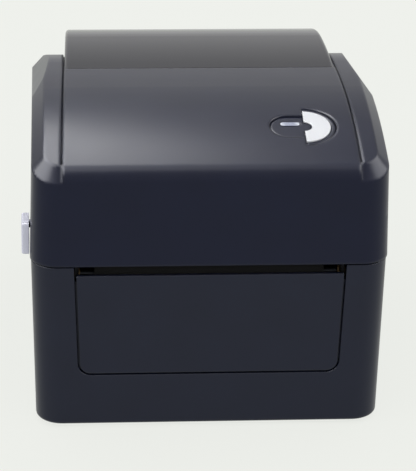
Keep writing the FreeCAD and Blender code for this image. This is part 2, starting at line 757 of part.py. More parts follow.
def biarc(p0, t0, p1, t1):
    """Two tangent arcs between two points with given directions."""
    chord = p1 - p0
    both = t0 + t1
    across = chord.dot(both)
    bend = 2 * (1 - t0.dot(t1))
    reach = (-across + math.sqrt(across ** 2 + bend * chord.dot(chord))) / bend
    joint = (p0 + p1 + (t0 - t1) * reach) * 0.5
    edges = []
    for point, tangent, end in ((p0, t0, joint), (joint, None, p1)):
        if tangent is None:
            tangent = (p1 - t1 * reach - joint).normalize()
        line = end - point
        length = line.Length
        line.normalize()
        normal = (line - tangent * tangent.dot(line))
        normal.normalize()
        radius = length / (2 * line.dot(normal))
        centre = point + normal * radius
        middle_way = ((point + end) * 0.5 - centre).normalize()
        edges.append(Part.Arc(point, centre + middle_way * abs(radius), end).toShape())
    return edges


def coil(radius, turns, pitch, wire):
    """A helical spring along +Z from the origin, as one tube."""
    climb = pitch / (2 * math.pi)
    speed = math.hypot(radius, climb)

    def point(a):
        return V(radius * math.cos(a), radius * math.sin(a), climb * a)

    def heading(a):
        return V(-radius * math.sin(a) / speed, radius * math.cos(a) / speed, climb / speed)
    edges = []
    steps = 4 * turns
    for i in range(steps):
        a0 = 2 * math.pi * turns * i / steps
        a1 = 2 * math.pi * turns * (i + 1) / steps
        edges.extend(biarc(point(a0), heading(a0), point(a1), heading(a1)))
    section = Part.Wire(Part.makeCircle(wire / 2, point(0), heading(0)))
    return Part.Wire(edges).makePipeShell([section], True, False)


def coil_gap(radius, turns, pitch, wire):
    """The least gap between the spring's turns, measured on points of the helix."""
    points = []
    for i in range(COIL_POINTS * turns + 1):
        a = 2 * math.pi * i / COIL_POINTS
        points.append(V(radius * math.cos(a), radius * math.sin(a), pitch * i / COIL_POINTS))
    apart = COIL_POINTS // 2
    least = min((points[j] - points[i]).Length
                for i in range(len(points)) for j in range(i + apart, len(points)))
    return least - wire


# Base

def door_outline(grow):
    """The front panel's outline in the front view, grown by a margin."""
    lean = (DOOR_TOP_HALF - DOOR_BOTTOM_HALF) / (DOOR_TOP - DOOR_BOTTOM)
    low = DOOR_BOTTOM - grow
    high = BASE_TOP + WALL if grow else DOOR_TOP
    half_low = DOOR_BOTTOM_HALF - lean * grow + grow
    half_high = DOOR_BOTTOM_HALF + lean * (high - DOOR_BOTTOM) + grow
    y = FRONT_Y - WALL
    points = [V(x, y, z) for x, z in
              ((-half_low, low), (half_low, low), (half_high, high), (-half_high, high))]
    block = prism(points, V(0, CORNER_R, 0))
    corners = [e for e in block.Edges if e.BoundBox.YLength > WALL and e.BoundBox.ZMax < low + WALL]
    return block.makeFillet(DOOR_CORNER_R + grow, corners)


def front_panel():
    skin = base_form(0, FOOT_H, BASE_TOP).cut(base_form(DOOR_T, FOOT_H - WALL, BASE_TOP + WALL))
    panel = skin.common(door_outline(0))
    clip_z = DOOR_TOP - LEDGE_W
    inner = FRONT_Y + BASE_STEP_IN + DOOR_T + BASE_TOP * math.tan(math.radians(BASE_FRONT_DRAFT))
    stiffener = box(-DOOR_BOTTOM_HALF + 2 * LEDGE_W, DOOR_BOTTOM_HALF - 2 * LEDGE_W,
                    inner - DOOR_T, inner + LEDGE_T, clip_z - LEDGE_T, clip_z)
    outside = base_form(DOOR_T / 2, FOOT_H, BASE_TOP)
    return fuse([panel, stiffener.common(outside)])


def foot_places():
    x = SIDE_X - FOOT_INSET
    return [(sx * x, y) for sx in SIDES for y in (FRONT_Y + FOOT_INSET, REAR_Y - FOOT_INSET)]


def rubber_feet():
    feet = [cyl_z(0, FOOT_H + FOOT_RECESS, x, y, FOOT_R) for x, y in foot_places()]
    return Part.makeCompound(feet)


def frame_screw_places():
    x = FRAME_HALF - FRAME_FLANGE / 2
    ends = (FRAME_Y0 + BOSS_R, FRAME_Y1 - BOSS_R)
    return [(sx * x, y) for sx in SIDES for y in ends]


def tray_screw_places():
    front = FRONT_Y + TRAY_BOSS_FRONT
    rear = REAR_Y - TRAY_BOSS_REAR
    return [(sx * TRAY_BOSS_X, y, z) for sx in SIDES for y, z in ((front, DECK_Z), (rear, REAR_DECK_Z))]


def board_screw_places():
    front = REAR_INSIDE - BOARD_FRONT
    x = BOARD_HALF - BOSS_R
    return [(sx * x, y) for sx in SIDES for y in (front + BOSS_R, REAR_INSIDE - 2 * BOSS_R)]


def boss(x, y, top, r):
    """A screw boss on the base's floor."""
    hole = cyl_z(top - SCREW_L, top, x, y, SCREW_R)
    return cyl_z(FLOOR_Z - FLOOR_T / 2, top, x, y, r).cut(hole)


def hinge_spans():
    """X spans of the two base ears and the lid's knuckle between them, on the right."""
    inner = HINGE_X - KNUCKLE_W / 2
    outer = HINGE_X + KNUCKLE_W / 2
    ears = ((inner - KNUCKLE_GAP - EAR_W, inner - KNUCKLE_GAP),
            (outer + KNUCKLE_GAP, outer + KNUCKLE_GAP + EAR_W))
    return ears, (inner, outer)


def base_housing():
    shell = base_form(0, FOOT_H, BASE_TOP)
    lower = [e for e in shell.Edges if e.BoundBox.ZMax < FOOT_H + WALL / 2]
    shell = shell.makeFillet(BASE_EDGE_R, lower)
    inside = base_form(WALL, FLOOR_Z, BASE_TOP + WALL)
    shell = shell.cut(inside)
    ledge = base_form(DOOR_T, FLOOR_Z, BASE_TOP - LEDGE_T).cut(base_form(DOOR_T + LEDGE_T, 0, BASE_TOP))
    ledge = ledge.common(door_outline(DOOR_GAP + LEDGE_W).cut(door_outline(-LEDGE_W)))
    ledge = ledge.cut(box(-FAR, FAR, FRONT_Y, REAR_Y, DOOR_TOP - LEDGE_W, FAR))
    shell = shell.cut(door_outline(DOOR_GAP))
    pieces = [shell, ledge]
    pieces += [boss(x, y, FRAME_FOOT_Z, BOSS_R) for x, y in frame_screw_places()]
    pieces += [boss(x, y, z - TRAY_T, BOSS_R) for x, y, z in tray_screw_places()]
    pieces += [boss(x, y, BOARD_Z, BOSS_R - SCREW_R / 2) for x, y in board_screw_places()]
    ears, knuckle = hinge_spans()
    for side in SIDES:
        for x0, x1 in ears:
            web = box(x0, x1, BASE_REAR - WALL, REAR_Y, HINGE_Z - 2 * HINGE_R, HINGE_Z)
            pieces.append(on_side(side, fuse([cyl_x(x0, x1, REAR_Y, HINGE_Z, HINGE_R), web])))
    body = fuse(pieces)
    cuts = [cyl_z(0, FOOT_H + FOOT_RECESS, x, y, FOOT_R) for x, y in foot_places()]
    x0, x1 = knuckle
    for side in SIDES:
        pocket = cyl_x(x0 - KNUCKLE_GAP, x1 + KNUCKLE_GAP, REAR_Y, HINGE_Z, HINGE_R + HINGE_CLEAR)
        cuts.append(on_side(side, pocket))
        pin = cyl_x(ears[0][0], ears[1][1], REAR_Y, HINGE_Z, HINGE_PIN_R)
        cuts.append(on_side(side, pin))
    wall_0 = BASE_REAR - 2 * WALL
    wall_1 = BASE_REAR + WALL
    cuts.append(box(-FANFOLD_HALF, FANFOLD_HALF, wall_0, wall_1, FANFOLD_SILL, BASE_TOP + WALL))
    socket_z = BOARD_Z + BOARD_T
    for x, w in ((USB_X, USB_W), (DC_X, DC_W)):
        half = w / 2 + SOCKET_GAP
        cuts.append(box(x - half, x + half, wall_0, wall_1,
                        socket_z - SOCKET_GAP, socket_z + SOCKET_H + SOCKET_GAP))
    half_w = SWITCH_W / 2 - SWITCH_LIP
    half_h = SWITCH_H / 2 - SWITCH_LIP
    cuts.append(box(ROCKER_X - half_w, ROCKER_X + half_w, wall_0, wall_1,
                    ROCKER_Z - half_h, ROCKER_Z + half_h))
    return body.cut(cuts)


# Drive

def side_frame(side):
    plate = box(FRAME_HALF, FRAME_HALF + FRAME_T, FRAME_Y0, FRAME_Y1, FRAME_FOOT_Z, FRAME_TOP)
    flange = box(FRAME_HALF - FRAME_FLANGE, FRAME_HALF + FRAME_T, FRAME_Y0, FRAME_Y1,
                 FRAME_FOOT_Z, FRAME_FOOT_Z + FRAME_T)
    body = fuse([plate, flange])
    x0 = FRAME_HALF - FRAME_T
    x1 = FRAME_HALF + 2 * FRAME_T
    cuts = [cyl_x(x0, x1, PLATEN_Y, PLATEN_Z, BUSH_R)]
    post_y = latch_post_y()
    cuts.append(cyl_x(x0, x1, post_y, POST_Z, POST_R))
    for x, y in frame_screw_places():
        if x > 0:
            cuts.append(cyl_z(0, FRAME_TOP, x, y, SCREW_R))
    if side > 0:
        cuts.append(cyl_x(x0, x1, REDUCTION_Y, REDUCTION_Z, REDUCTION_PIN_R))
        cuts.append(cyl_x(x0, x1, MOTOR_Y, MOTOR_Z, MOTOR_SHAFT_R + SLIDE_FIT))
        for y, z in motor_screw_places():
            cuts.append(cyl_x(x0, x1, y, z, SCREW_R))
    cuts.append(box(FRAME_HALF - FRAME_FLANGE - FRAME_T, FRAME_HALF, FRAME_Y0 + 2 * BOSS_R,
                    FRAME_Y1 - 2 * BOSS_R, FRAME_FOOT_Z - FRAME_T, FRAME_FOOT_Z + 2 * FRAME_T))
    return on_side(side, body.cut(cuts))


def platen_bushes():
    bushes = []
    for side in SIDES:
        x = FRAME_HALF
        flange = cyl_x(x - BUSH_FLANGE_T, x, PLATEN_Y, PLATEN_Z, BUSH_FLANGE_R)
        barrel = cyl_x(x - BUSH_FLANGE_T, x + FRAME_T + BUSH_OUT, PLATEN_Y, PLATEN_Z, BUSH_R)
        bore = cyl_x(x - FRAME_T, x + 2 * FRAME_T + BUSH_OUT, PLATEN_Y, PLATEN_Z, PLATEN_SHAFT_R + RUN_FIT)
        bushes.append(on_side(side, fuse([flange, barrel]).cut(bore)))
    return Part.makeCompound(bushes)


def platen_shaft():
    left = -(FRAME_HALF + FRAME_T + 2 * BUSH_OUT)
    return cyl_x(left, GEAR_ROW_A + GEAR_W, PLATEN_Y, PLATEN_Z, PLATEN_SHAFT_R)


def platen_roller():
    tube = cyl_x(-PLATEN_HALF, PLATEN_HALF, PLATEN_Y, PLATEN_Z, PLATEN_R)
    return tube.cut(cyl_x(-WIDTH, WIDTH, PLATEN_Y, PLATEN_Z, PLATEN_SHAFT_R))


def platen_gear():
    return gear_x(PLATEN_TEETH, GEAR_ROW_A, PLATEN_Y, PLATEN_Z, REDUCTION_ANGLE, PLATEN_SHAFT_R)


def reduction_gear():
    bore = REDUCTION_PIN_R + RUN_FIT
    small_at = REDUCTION_ANGLE + 180 + 180 / SMALL_TEETH
    small = gear_x(SMALL_TEETH, GEAR_ROW_A, REDUCTION_Y, REDUCTION_Z, small_at, bore)
    large = gear_x(LARGE_TEETH, GEAR_ROW_B, REDUCTION_Y, REDUCTION_Z, MOTOR_ANGLE, bore)
    hub_x = GEAR_ROW_A - GEAR_STANDOFF + FLAT_FIT
    hub = cyl_x(hub_x, GEAR_ROW_B, REDUCTION_Y, REDUCTION_Z, REDUCTION_HUB_R)
    hub = hub.cut(cyl_x(0, WIDTH, REDUCTION_Y, REDUCTION_Z, bore))
    return fuse([small, hub, large])


def reduction_pin():
    pin = cyl_x(FRAME_HALF, GEAR_END + FLAT_FIT, REDUCTION_Y, REDUCTION_Z, REDUCTION_PIN_R)
    head = cyl_x(GEAR_END + FLAT_FIT, GEAR_END + FLAT_FIT + BUSH_FLANGE_T, REDUCTION_Y, REDUCTION_Z,
                 REDUCTION_HEAD_R)
    return fuse([pin, head])


def motor_screw_places():
    return [polar(MOTOR_Y, MOTOR_Z, MOTOR_HOLE_PITCH / 2, angle)
            for angle in (MOTOR_EAR_ANGLE, MOTOR_EAR_ANGLE + 180)]


def drive_motor():
    x1 = FRAME_HALF
    pieces = [cyl_x(x1 - MOTOR_L, x1, MOTOR_Y, MOTOR_Z, MOTOR_R)]
    reach = MOTOR_HOLE_PITCH / 2
    strap = box(x1 - MOTOR_EAR_T, x1, MOTOR_Y - reach, MOTOR_Y + reach,
                MOTOR_Z - MOTOR_EAR_R, MOTOR_Z + MOTOR_EAR_R)
    strap.rotate(V(0, MOTOR_Y, MOTOR_Z), V(1, 0, 0), MOTOR_EAR_ANGLE)
    pieces.append(strap)
    for y, z in motor_screw_places():
        pieces.append(cyl_x(x1 - MOTOR_EAR_T, x1, y, z, MOTOR_EAR_R))
    body = fuse(pieces)
    cuts = [cyl_x(x1 - MOTOR_SHAFT_IN, x1 + FRAME_T, MOTOR_Y, MOTOR_Z, MOTOR_SHAFT_R + RUN_FIT)]
    cuts += [cyl_x(x1 - 2 * MOTOR_EAR_T, x1 + FRAME_T, y, z, SCREW_R) for y, z in motor_screw_places()]
    return body.cut(cuts)


def motor_shaft():
    return cyl_x(FRAME_HALF - MOTOR_SHAFT_IN + FLAT_FIT, GEAR_END, MOTOR_Y, MOTOR_Z, MOTOR_SHAFT_R)


def motor_pinion():
    tooth_at = MOTOR_ANGLE + 180 + 180 / PINION_TEETH
    return gear_x(PINION_TEETH, GEAR_ROW_B, MOTOR_Y, MOTOR_Z, tooth_at, MOTOR_SHAFT_R)


def motor_screws():
    screws = []
    seat = FRAME_HALF + FRAME_T
    for y, z in motor_screw_places():
        shank = cyl_x(FRAME_HALF - MOTOR_EAR_T, seat, y, z, SCREW_R)
        head = cyl_x(seat, seat + SCREW_HEAD_T, y, z, SCREW_HEAD_R)
        screws.append(fuse([shank, head]))
    return Part.makeCompound(screws)


def latch_post_y():
    return LATCH_Y + HOOK_HALF + HOOK_NOSE + POST_CLEAR + POST_R


def latch_posts():
    x1 = HOOK_X + HOOK_T + FLAT_FIT
    return Part.makeCompound([
        on_side(side, cyl_x(FRAME_HALF, x1, latch_post_y(), POST_Z, POST_R)) for side in SIDES])


def frame_screws():
    seat = FRAME_FOOT_Z + FRAME_T
    return Part.makeCompound([screw_down(x, y, seat, SCREW_L) for x, y in frame_screw_places()])


# Media tray and sliding pieces

def tray_half():
    floor_fall = BASE_TOP - TROUGH_FLOOR + TRAY_T
    lean = math.tan(math.radians(BASE_SIDE_DRAFT))
    return SIDE_X - BASE_STEP_IN - floor_fall * lean - WALL - TRAY_CLEAR


def trough_line(grow):
    """The trough's edges from the deck's edge to the rear deck, moved outwards by grow."""
    radius = TROUGH_R + grow
    floor = TROUGH_FLOOR - grow
    reach = math.sqrt(radius ** 2 - (ROLL_Z - floor) ** 2)
    front_axis = TROUGH_Y0 + TROUGH_R
    rear_axis = TROUGH_Y1 - TROUGH_R

    def at(axis, angle):
        return V(0, axis + radius * math.cos(angle), ROLL_Z + radius * math.sin(angle))
    flat_angle = math.acos(reach / radius)
    front = at(front_axis, math.pi)
    rear = at(rear_axis, 0)
    low_front = V(0, front_axis - reach, floor)
    low_rear = V(0, rear_axis + reach, floor)
    return [
        Part.makeLine(V(0, front.y, DECK_Z - grow), front),
        Part.Arc(front, at(front_axis, math.pi + flat_angle / 2), low_front).toShape(),
        Part.makeLine(low_front, low_rear),
        Part.Arc(low_rear, at(rear_axis, -flat_angle / 2), rear).toShape(),
        Part.makeLine(rear, V(0, rear.y, REAR_DECK_Z - grow)),
    ]


def media_tray():
    half = tray_half()
    wide_y = FRAME_Y1 + FLAT_FIT
    deck_y = FRONT_Y + DECK_SETBACK
    rear_y = REAR_INSIDE - TRAY_CLEAR
    front_top = V(0, wide_y, DECK_Z)
    front_low = V(0, wide_y, DECK_Z - TRAY_T)
    rear_top = V(0, rear_y, REAR_DECK_Z)
    rear_low = V(0, rear_y, REAR_DECK_Z - TRAY_T)
    upper = trough_line(0)
    lower = trough_line(TRAY_T)
    edges = upper + lower
    edges.append(Part.makeLine(front_top, V(0, TROUGH_Y0, DECK_Z)))
    edges.append(Part.makeLine(front_low, V(0, TROUGH_Y0 - TRAY_T, DECK_Z - TRAY_T)))
    edges.append(Part.makeLine(V(0, TROUGH_Y1, REAR_DECK_Z), rear_top))
    edges.append(Part.makeLine(V(0, TROUGH_Y1 + TRAY_T, REAR_DECK_Z - TRAY_T), rear_low))
    edges.append(Part.makeLine(front_top, front_low))
    edges.append(Part.makeLine(rear_top, rear_low))
    sheet = Part.Face(Part.Wire(Part.__sortEdges__(edges))).extrude(V(2 * half, 0, 0))
    sheet.translate(V(-half, 0, 0))
    deck_half = FRAME_HALF - FRAME_T / 2
    deck = box(-deck_half, deck_half, deck_y, wide_y, DECK_Z - TRAY_T, DECK_Z)
    rim = trough_line(0)
    rim[0] = Part.makeLine(V(0, TROUGH_Y0, REAR_DECK_Z), V(0, TROUGH_Y0, ROLL_Z))
    rim.append(Part.makeLine(V(0, TROUGH_Y0, REAR_DECK_Z), V(0, TROUGH_Y1, REAR_DECK_Z)))
    end_face = Part.Face(Part.Wire(Part.__sortEdges__(rim)))
    pieces = [sheet, deck]
    for x in (-half, half - TRAY_T):
        end = end_face.extrude(V(TRAY_T, 0, 0))
        end.translate(V(x, 0, 0))
        pieces.append(end)
    body = fuse(pieces)
    cuts = []
    for side in SIDES:
        cuts.append(rack_slot(side, ROLL_Y, holder_centre(), HOLDER_TRAVEL, FLOOR_Z, ROLL_Z))
        cuts.append(rack_slot(side, GUIDE_Y, guide_centre(), GUIDE_TRAVEL, ROLL_Z, DECK_Z + TRAY_T))
    reach = SENSOR_TRAVEL + SENSOR_L / 2 + SLIDE_FIT
    cuts.append(box(-reach, reach, SENSOR_Y - SENSOR_W / 2, SENSOR_Y + SENSOR_W / 2,
                    ROLL_Z, DECK_Z + TRAY_T))
    cuts += [cyl_z(ROLL_Z - TRAY_T, DECK_Z + TRAY_T, x, y, SCREW_R) for x, y, z in tray_screw_places()]
    plan = base_form(WALL + TRAY_CLEAR, FLOOR_Z, BASE_TOP)
    return body.cut(cuts).common(plan)


def tray_screws():
    return Part.makeCompound([screw_down(x, y, z, SCREW_L) for x, y, z in tray_screw_places()])


def holder_centre():
    return HOLDER_X + HOLDER_ARM_T / 2


def guide_centre():
    return GUIDE_X + STEM_L / 2


def roll_holder(side):
    x0 = HOLDER_X
    x1 = HOLDER_X + HOLDER_ARM_T
    seat = TROUGH_FLOOR + FLAT_FIT
    foot = box(x0 - HOLDER_ARM_T, x1 + HOLDER_ARM_T, ROLL_Y - HOLDER_FOOT, ROLL_Y + HOLDER_FOOT,
               seat, seat + HOLDER_FOOT_T)
    arm = side_prism([(ROLL_Y - HOLDER_FOOT, seat), (ROLL_Y + HOLDER_FOOT, seat),
                      (ROLL_Y + HOLDER_TOP_R, ROLL_Z), (ROLL_Y - HOLDER_TOP_R, ROLL_Z)], x0, x1)
    head = cyl_x(x0, x1, ROLL_Y, ROLL_Z, HOLDER_TOP_R)
    hub = cyl_x(x0 - HUB_L, x0, ROLL_Y, ROLL_Z, HUB_R)
    nose = [e for e in hub.Edges if e.BoundBox.XMax < x0 - HUB_L / 2 and e.BoundBox.XLength < TINY]
    hub = hub.makeChamfer(HUB_CHAMFER, nose)
    hollow = cyl_x(x0 - HUB_L - WALL, x0, ROLL_Y, ROLL_Z, HUB_HOLLOW_R)
    return on_side(side, fuse([foot, arm, head, hub]).cut(hollow))


def label_guide(side):
    x0 = GUIDE_X
    seat = DECK_Z + FLAT_FIT
    y0 = GUIDE_Y - GUIDE_LENGTH / 2
    y1 = GUIDE_Y + GUIDE_LENGTH / 2
    foot = box(x0, x0 + GUIDE_FOOT, y0, y1, seat, seat + GUIDE_FOOT_T)
    fin = box(x0, x0 + GUIDE_FIN_T, y0, y1, seat, seat + GUIDE_FIN_H)
    ends = [e for e in fin.Edges
            if e.BoundBox.XLength > GUIDE_FIN_T / 2 and e.BoundBox.ZMin > seat + GUIDE_FIN_H / 2]
    fin = fin.makeFillet(GUIDE_FIN_ROUND, ends)
    return on_side(side, fuse([foot, fin]))


def holder_rack(side):
    top = TROUGH_FLOOR - TRAY_T - FLAT_FIT
    return rack(side, ROLL_Y, top, holder_centre(), TROUGH_FLOOR + FLAT_FIT)


def guide_rack(side):
    top = DECK_Z - TRAY_T - FLAT_FIT
    return rack(side, GUIDE_Y, top, guide_centre(), DECK_Z + FLAT_FIT)


def media_sensor():
    half = SENSOR_L / 2
    neck = SENSOR_W / 2 - SLIDE_FIT
    lip = SENSOR_W / 2 + SENSOR_LIP
    under = DECK_Z - TRAY_T - FLAT_FIT
    pieces = [
        box(-half, half, SENSOR_Y - neck, SENSOR_Y + neck, under - SENSOR_BODY_T, DECK_Z + SENSOR_LIP_T),
        box(-half, half, SENSOR_Y - lip, SENSOR_Y + lip, DECK_Z + RUN_FIT, DECK_Z + SENSOR_LIP_T),
        box(-half, half, SENSOR_Y - lip, SENSOR_Y + lip, under - SENSOR_BODY_T, under),
    ]
    return fuse(pieces)


# Lid

def to_panel(shape):
    """Moves a shape from the button's own frame (Z out of the panel) to its place on the lid."""
    z, slope = panel_top(FRONT_Y + BUTTON_SETBACK)
    moved = shape.copy()
    moved.rotate(V(0, 0, 0), V(1, 0, 0), slope)
    moved.translate(V(BUTTON_X, FRONT_Y + BUTTON_SETBACK, z))
    return moved


def keyhole(grow, z0, z1):
    """The bezel's outline: a half disc with a smaller lobe on the left."""
    half_disc = cyl_z(z0, z1, 0, 0, BEZEL_R + grow).common(box(-grow, FAR, -FAR, FAR, z0, z1))
    lobe = cyl_z(z0, z1, -LOBE_X, 0, LOBE_R + grow)
    bridge = box(-LOBE_X, 0, -LOBE_R - grow, LOBE_R + grow, z0, z1)
    return fuse([half_disc, lobe, bridge])


def half_ring(grow, z0, z1):
    """The button's outline: half of a ring, grown by a margin."""
    ring = cyl_z(z0, z1, 0, 0, BUTTON_R + grow).cut(cyl_z(z0, z1, 0, 0, BUTTON_CORE_R - grow))
    return ring.common(box(BUTTON_GAP - grow, FAR, -FAR, FAR, z0, z1))


def lens_slot(z0, z1):
    half = (LENS_L - LENS_W) / 2
    ends = [cyl_z(z0, z1, -LENS_X + s * half, LENS_UP, LENS_W / 2) for s in SIDES]
    bar = box(-LENS_X - half, -LENS_X + half, LENS_UP - LENS_W / 2, LENS_UP + LENS_W / 2, z0, z1)
    return fuse(ends + [bar])


def button_bezel():
    top = -BEZEL_LOW
    plate = keyhole(-BEZEL_FIT, -PAD_D - BEZEL_FLANGE_T, top)
    flange = keyhole(BEZEL_FLANGE, -PAD_D - BEZEL_FLANGE_T, -PAD_D)
    body = fuse([plate, flange])
    deep = -PAD_D - 2 * BEZEL_FLANGE_T
    return to_panel(body.cut([half_ring(BUTTON_GAP, deep, 0), lens_slot(deep, 0)]))


def feed_button():
    cap = half_ring(0, -BUTTON_LOW - BUTTON_T, -BUTTON_LOW)
    edges = [e for e in cap.Edges if e.BoundBox.ZMin > -BUTTON_LOW - BUTTON_T / 4]
    cap = cap.makeFillet(BUTTON_GAP, edges)
    middle = (BUTTON_R + BUTTON_CORE_R) / 2
    stem_low = -BUTTON_BOARD_D + SWITCH_CAP + BUTTON_TRAVEL + BUTTON_STOP
    stem = box(middle - SCREW_R, middle + SCREW_R, -SCREW_R, SCREW_R, stem_low, -BUTTON_LOW - BUTTON_T / 2)
    return to_panel(fuse([cap, stem]))


def status_lens():
    return to_panel(lens_slot(-BUTTON_BOARD_D, -BEZEL_LOW + BUTTON_LOW))


def button_post_places():
    x = BUTTON_BOARD_L / 2 - BUTTON_POST_R
    return [s * x for s in SIDES]


def button_board():
    half_l = BUTTON_BOARD_L / 2
    half_w = BUTTON_BOARD_W / 2
    top = -BUTTON_BOARD_D
    board = box(-half_l, half_l, -half_w, half_w, top - BOARD_T, top)
    middle = (BUTTON_R + BUTTON_CORE_R) / 2
    cap = box(middle - 2 * SCREW_R, middle + 2 * SCREW_R, -2 * SCREW_R, 2 * SCREW_R, top, top + SWITCH_CAP)
    body = fuse([board, cap])
    return to_panel(body.cut([cyl_z(top - 2 * BOARD_T, 0, x, 0, SCREW_R) for x in button_post_places()]))


def lid_boss_places():
    places = ((LID_BOSS_FRONT_X, FRONT_Y + LID_BOSS_FRONT), (LID_BOSS_REAR_X, FRONT_Y + LID_BOSS_REAR))
    return [(sx * x, y) for sx in SIDES for x, y in places]


def window_hole():
    """The opening in the lid under the window."""
    y1 = REAR_Y - WINDOW_INSET - WINDOW_WALL - WINDOW_END_R
    inset = -WINDOW_WALL - WINDOW_SEAT
    return panel_plan(BEND_Y + RIM_DROP, y1, inset, LID_BOTTOM, CREST_Z + CORNER_R)


def top_cover():
    shell = fuse([lid_form(0, LID_BOTTOM), panel_block()])
    inside = lid_form(WALL, LID_BOTTOM - WALL)
    ears, knuckle = hinge_spans()
    roof = lid_form(WALL / 2, LID_BOTTOM)
    inner_top = INNER_Z + INNER_T
    bosses = []
    for x, y in lid_boss_places():
        bosses.append(cyl_z(inner_top, CREST_Z, x, y, BOSS_R).common(roof))
    pad = to_panel(cyl_z(-PAD_D, 0, 0, 0, PAD_R)).common(roof)
    posts = []
    for x in button_post_places():
        posts.append(to_panel(cyl_z(-BUTTON_BOARD_D, 0, x, 0, BUTTON_POST_R)).common(roof))
    knuckles = []
    for side in SIDES:
        x0, x1 = knuckle
        web = box(x0, x1, REAR_Y - WALL, REAR_Y, LID_BOTTOM, HINGE_Z + 2 * HINGE_R)
        knuckles.append(on_side(side, fuse([cyl_x(x0, x1, REAR_Y, HINGE_Z, HINGE_R), web])))
    body = fuse([shell.cut(inside)] + bosses + [pad] + posts + knuckles)
    cuts = [panel_grooves(), window_hole(), to_panel(keyhole(0, -2 * PAD_D, PAD_D))]
    cuts += [cyl_z(inner_top - INNER_T, inner_top + SCREW_L, x, y, SCREW_R) for x, y in lid_boss_places()]
    for x in button_post_places():
        cuts.append(to_panel(cyl_z(-2 * BUTTON_BOARD_D, -PAD_D - SCREW_R, x, 0, SCREW_R)))
    cuts.append(cyl_x(-WIDTH, -CHEEK_X, LATCH_Y, LATCH_Z, LATCH_R + LATCH_WALL_CLEAR))
    for side in SIDES:
        for x0, x1 in ears:
            pocket = cyl_x(x0 - KNUCKLE_GAP, x1 + KNUCKLE_GAP, REAR_Y, HINGE_Z, HINGE_R + HINGE_CLEAR)
            cuts.append(on_side(side, pocket))
        cuts.append(on_side(side, cyl_x(knuckle[0], knuckle[1], REAR_Y, HINGE_Z, HINGE_PIN_R + RUN_FIT)))
    return body.cut(cuts)


def roll_window():
    block = window_solid(0).cut(window_solid(WINDOW_WALL))
    return block.cut(lid_form(0, LID_BOTTOM - WALL))


def hinge_pins():
    ears, _ = hinge_spans()
    pins = [on_side(side, cyl_x(ears[0][0], ears[1][1], REAR_Y, HINGE_Z, HINGE_PIN_R)) for side in SIDES]
    return Part.makeCompound(pins)


def lid_inner_frame():
    y1 = FRONT_Y + WALL + INNER_LENGTH
    plate = lid_block(WALL + INNER_CLEAR, LID_BOTTOM)
    plate = plate.common(box(-FAR, FAR, FRONT_Y, y1, INNER_Z, INNER_Z + INNER_T))
    pieces = [plate]
    for side in SIDES:
        cheek = box(CHEEK_X, CHEEK_X + CHEEK_T, LATCH_Y - CHEEK_HALF, LATCH_Y + CHEEK_HALF,
                    INNER_Z - CHEEK_DROP, INNER_Z)
        pieces.append(on_side(side, cheek))
        post = cyl_z(BRACKET_Z + BRACKET_T, INNER_Z, BRACKET_POST_X, PLATEN_Y - BRACKET_POST_AHEAD,
                     BRACKET_POST_R)
        pieces.append(on_side(side, post))
    body = fuse(pieces)
    cuts = [cyl_x(-WIDTH, WIDTH, LATCH_Y, LATCH_Z, LATCH_R + RUN_FIT)]
    cuts += [cyl_z(INNER_Z - INNER_T, INNER_Z + 2 * INNER_T, x, y, SCREW_R) for x, y in lid_boss_places()]
    for side in SIDES:
        cuts.append(cyl_z(BRACKET_Z, INNER_Z + 2 * INNER_T, side * BRACKET_POST_X,
                          PLATEN_Y - BRACKET_POST_AHEAD, SCREW_R))
    return body.cut(cuts)


def lid_screws():
    """Screws of the inner frame, the head's bracket and the button's board."""
    screws = [screw(x, y, INNER_Z, SCREW_L) for x, y in lid_boss_places()]
    for side in SIDES:
        screws.append(screw(side * BRACKET_POST_X, PLATEN_Y - BRACKET_POST_AHEAD, BRACKET_Z,
                            INNER_Z + INNER_T - BRACKET_Z))
    seat = -BUTTON_BOARD_D - BOARD_T
    for x in button_post_places():
        screws.append(to_panel(screw(x, 0, seat, -PAD_D - SCREW_R - seat)))
    return Part.makeCompound(screws)


def head_bracket():
    y0 = PLATEN_Y - HEAD_FRONT
    y1 = PIVOT_Y + HEAD_EAR_R
    plate = box(-BRACKET_HALF, BRACKET_HALF, y0, y1, BRACKET_Z, BRACKET_Z + BRACKET_T)
    pieces = [plate]
    for side in SIDES:
        flange = box(BRACKET_HALF - BRACKET_T, BRACKET_HALF, PIVOT_Y - HEAD_EAR_R, y1,
                     PIVOT_Z - HEAD_EAR_R, BRACKET_Z + BRACKET_T)
        pieces.append(on_side(side, flange))
    body = fuse(pieces)
    cuts = [cyl_x(-WIDTH, WIDTH, PIVOT_Y, PIVOT_Z, PIVOT_R)]
    for side in SIDES:
        cuts.append(cyl_z(BRACKET_Z - BRACKET_T, INNER_Z, side * BRACKET_POST_X,
                          PLATEN_Y - BRACKET_POST_AHEAD, SCREW_R))
    return body.cut(cuts)


def head_pivot_pin():
    return cyl_x(-BRACKET_HALF, BRACKET_HALF, PIVOT_Y, PIVOT_Z, PIVOT_R)


def print_head():
    return box(-HEAD_HALF, HEAD_HALF, PLATEN_Y - HEAD_FRONT, PLATEN_Y + HEAD_REAR, HEAD_Z, SINK_Z)


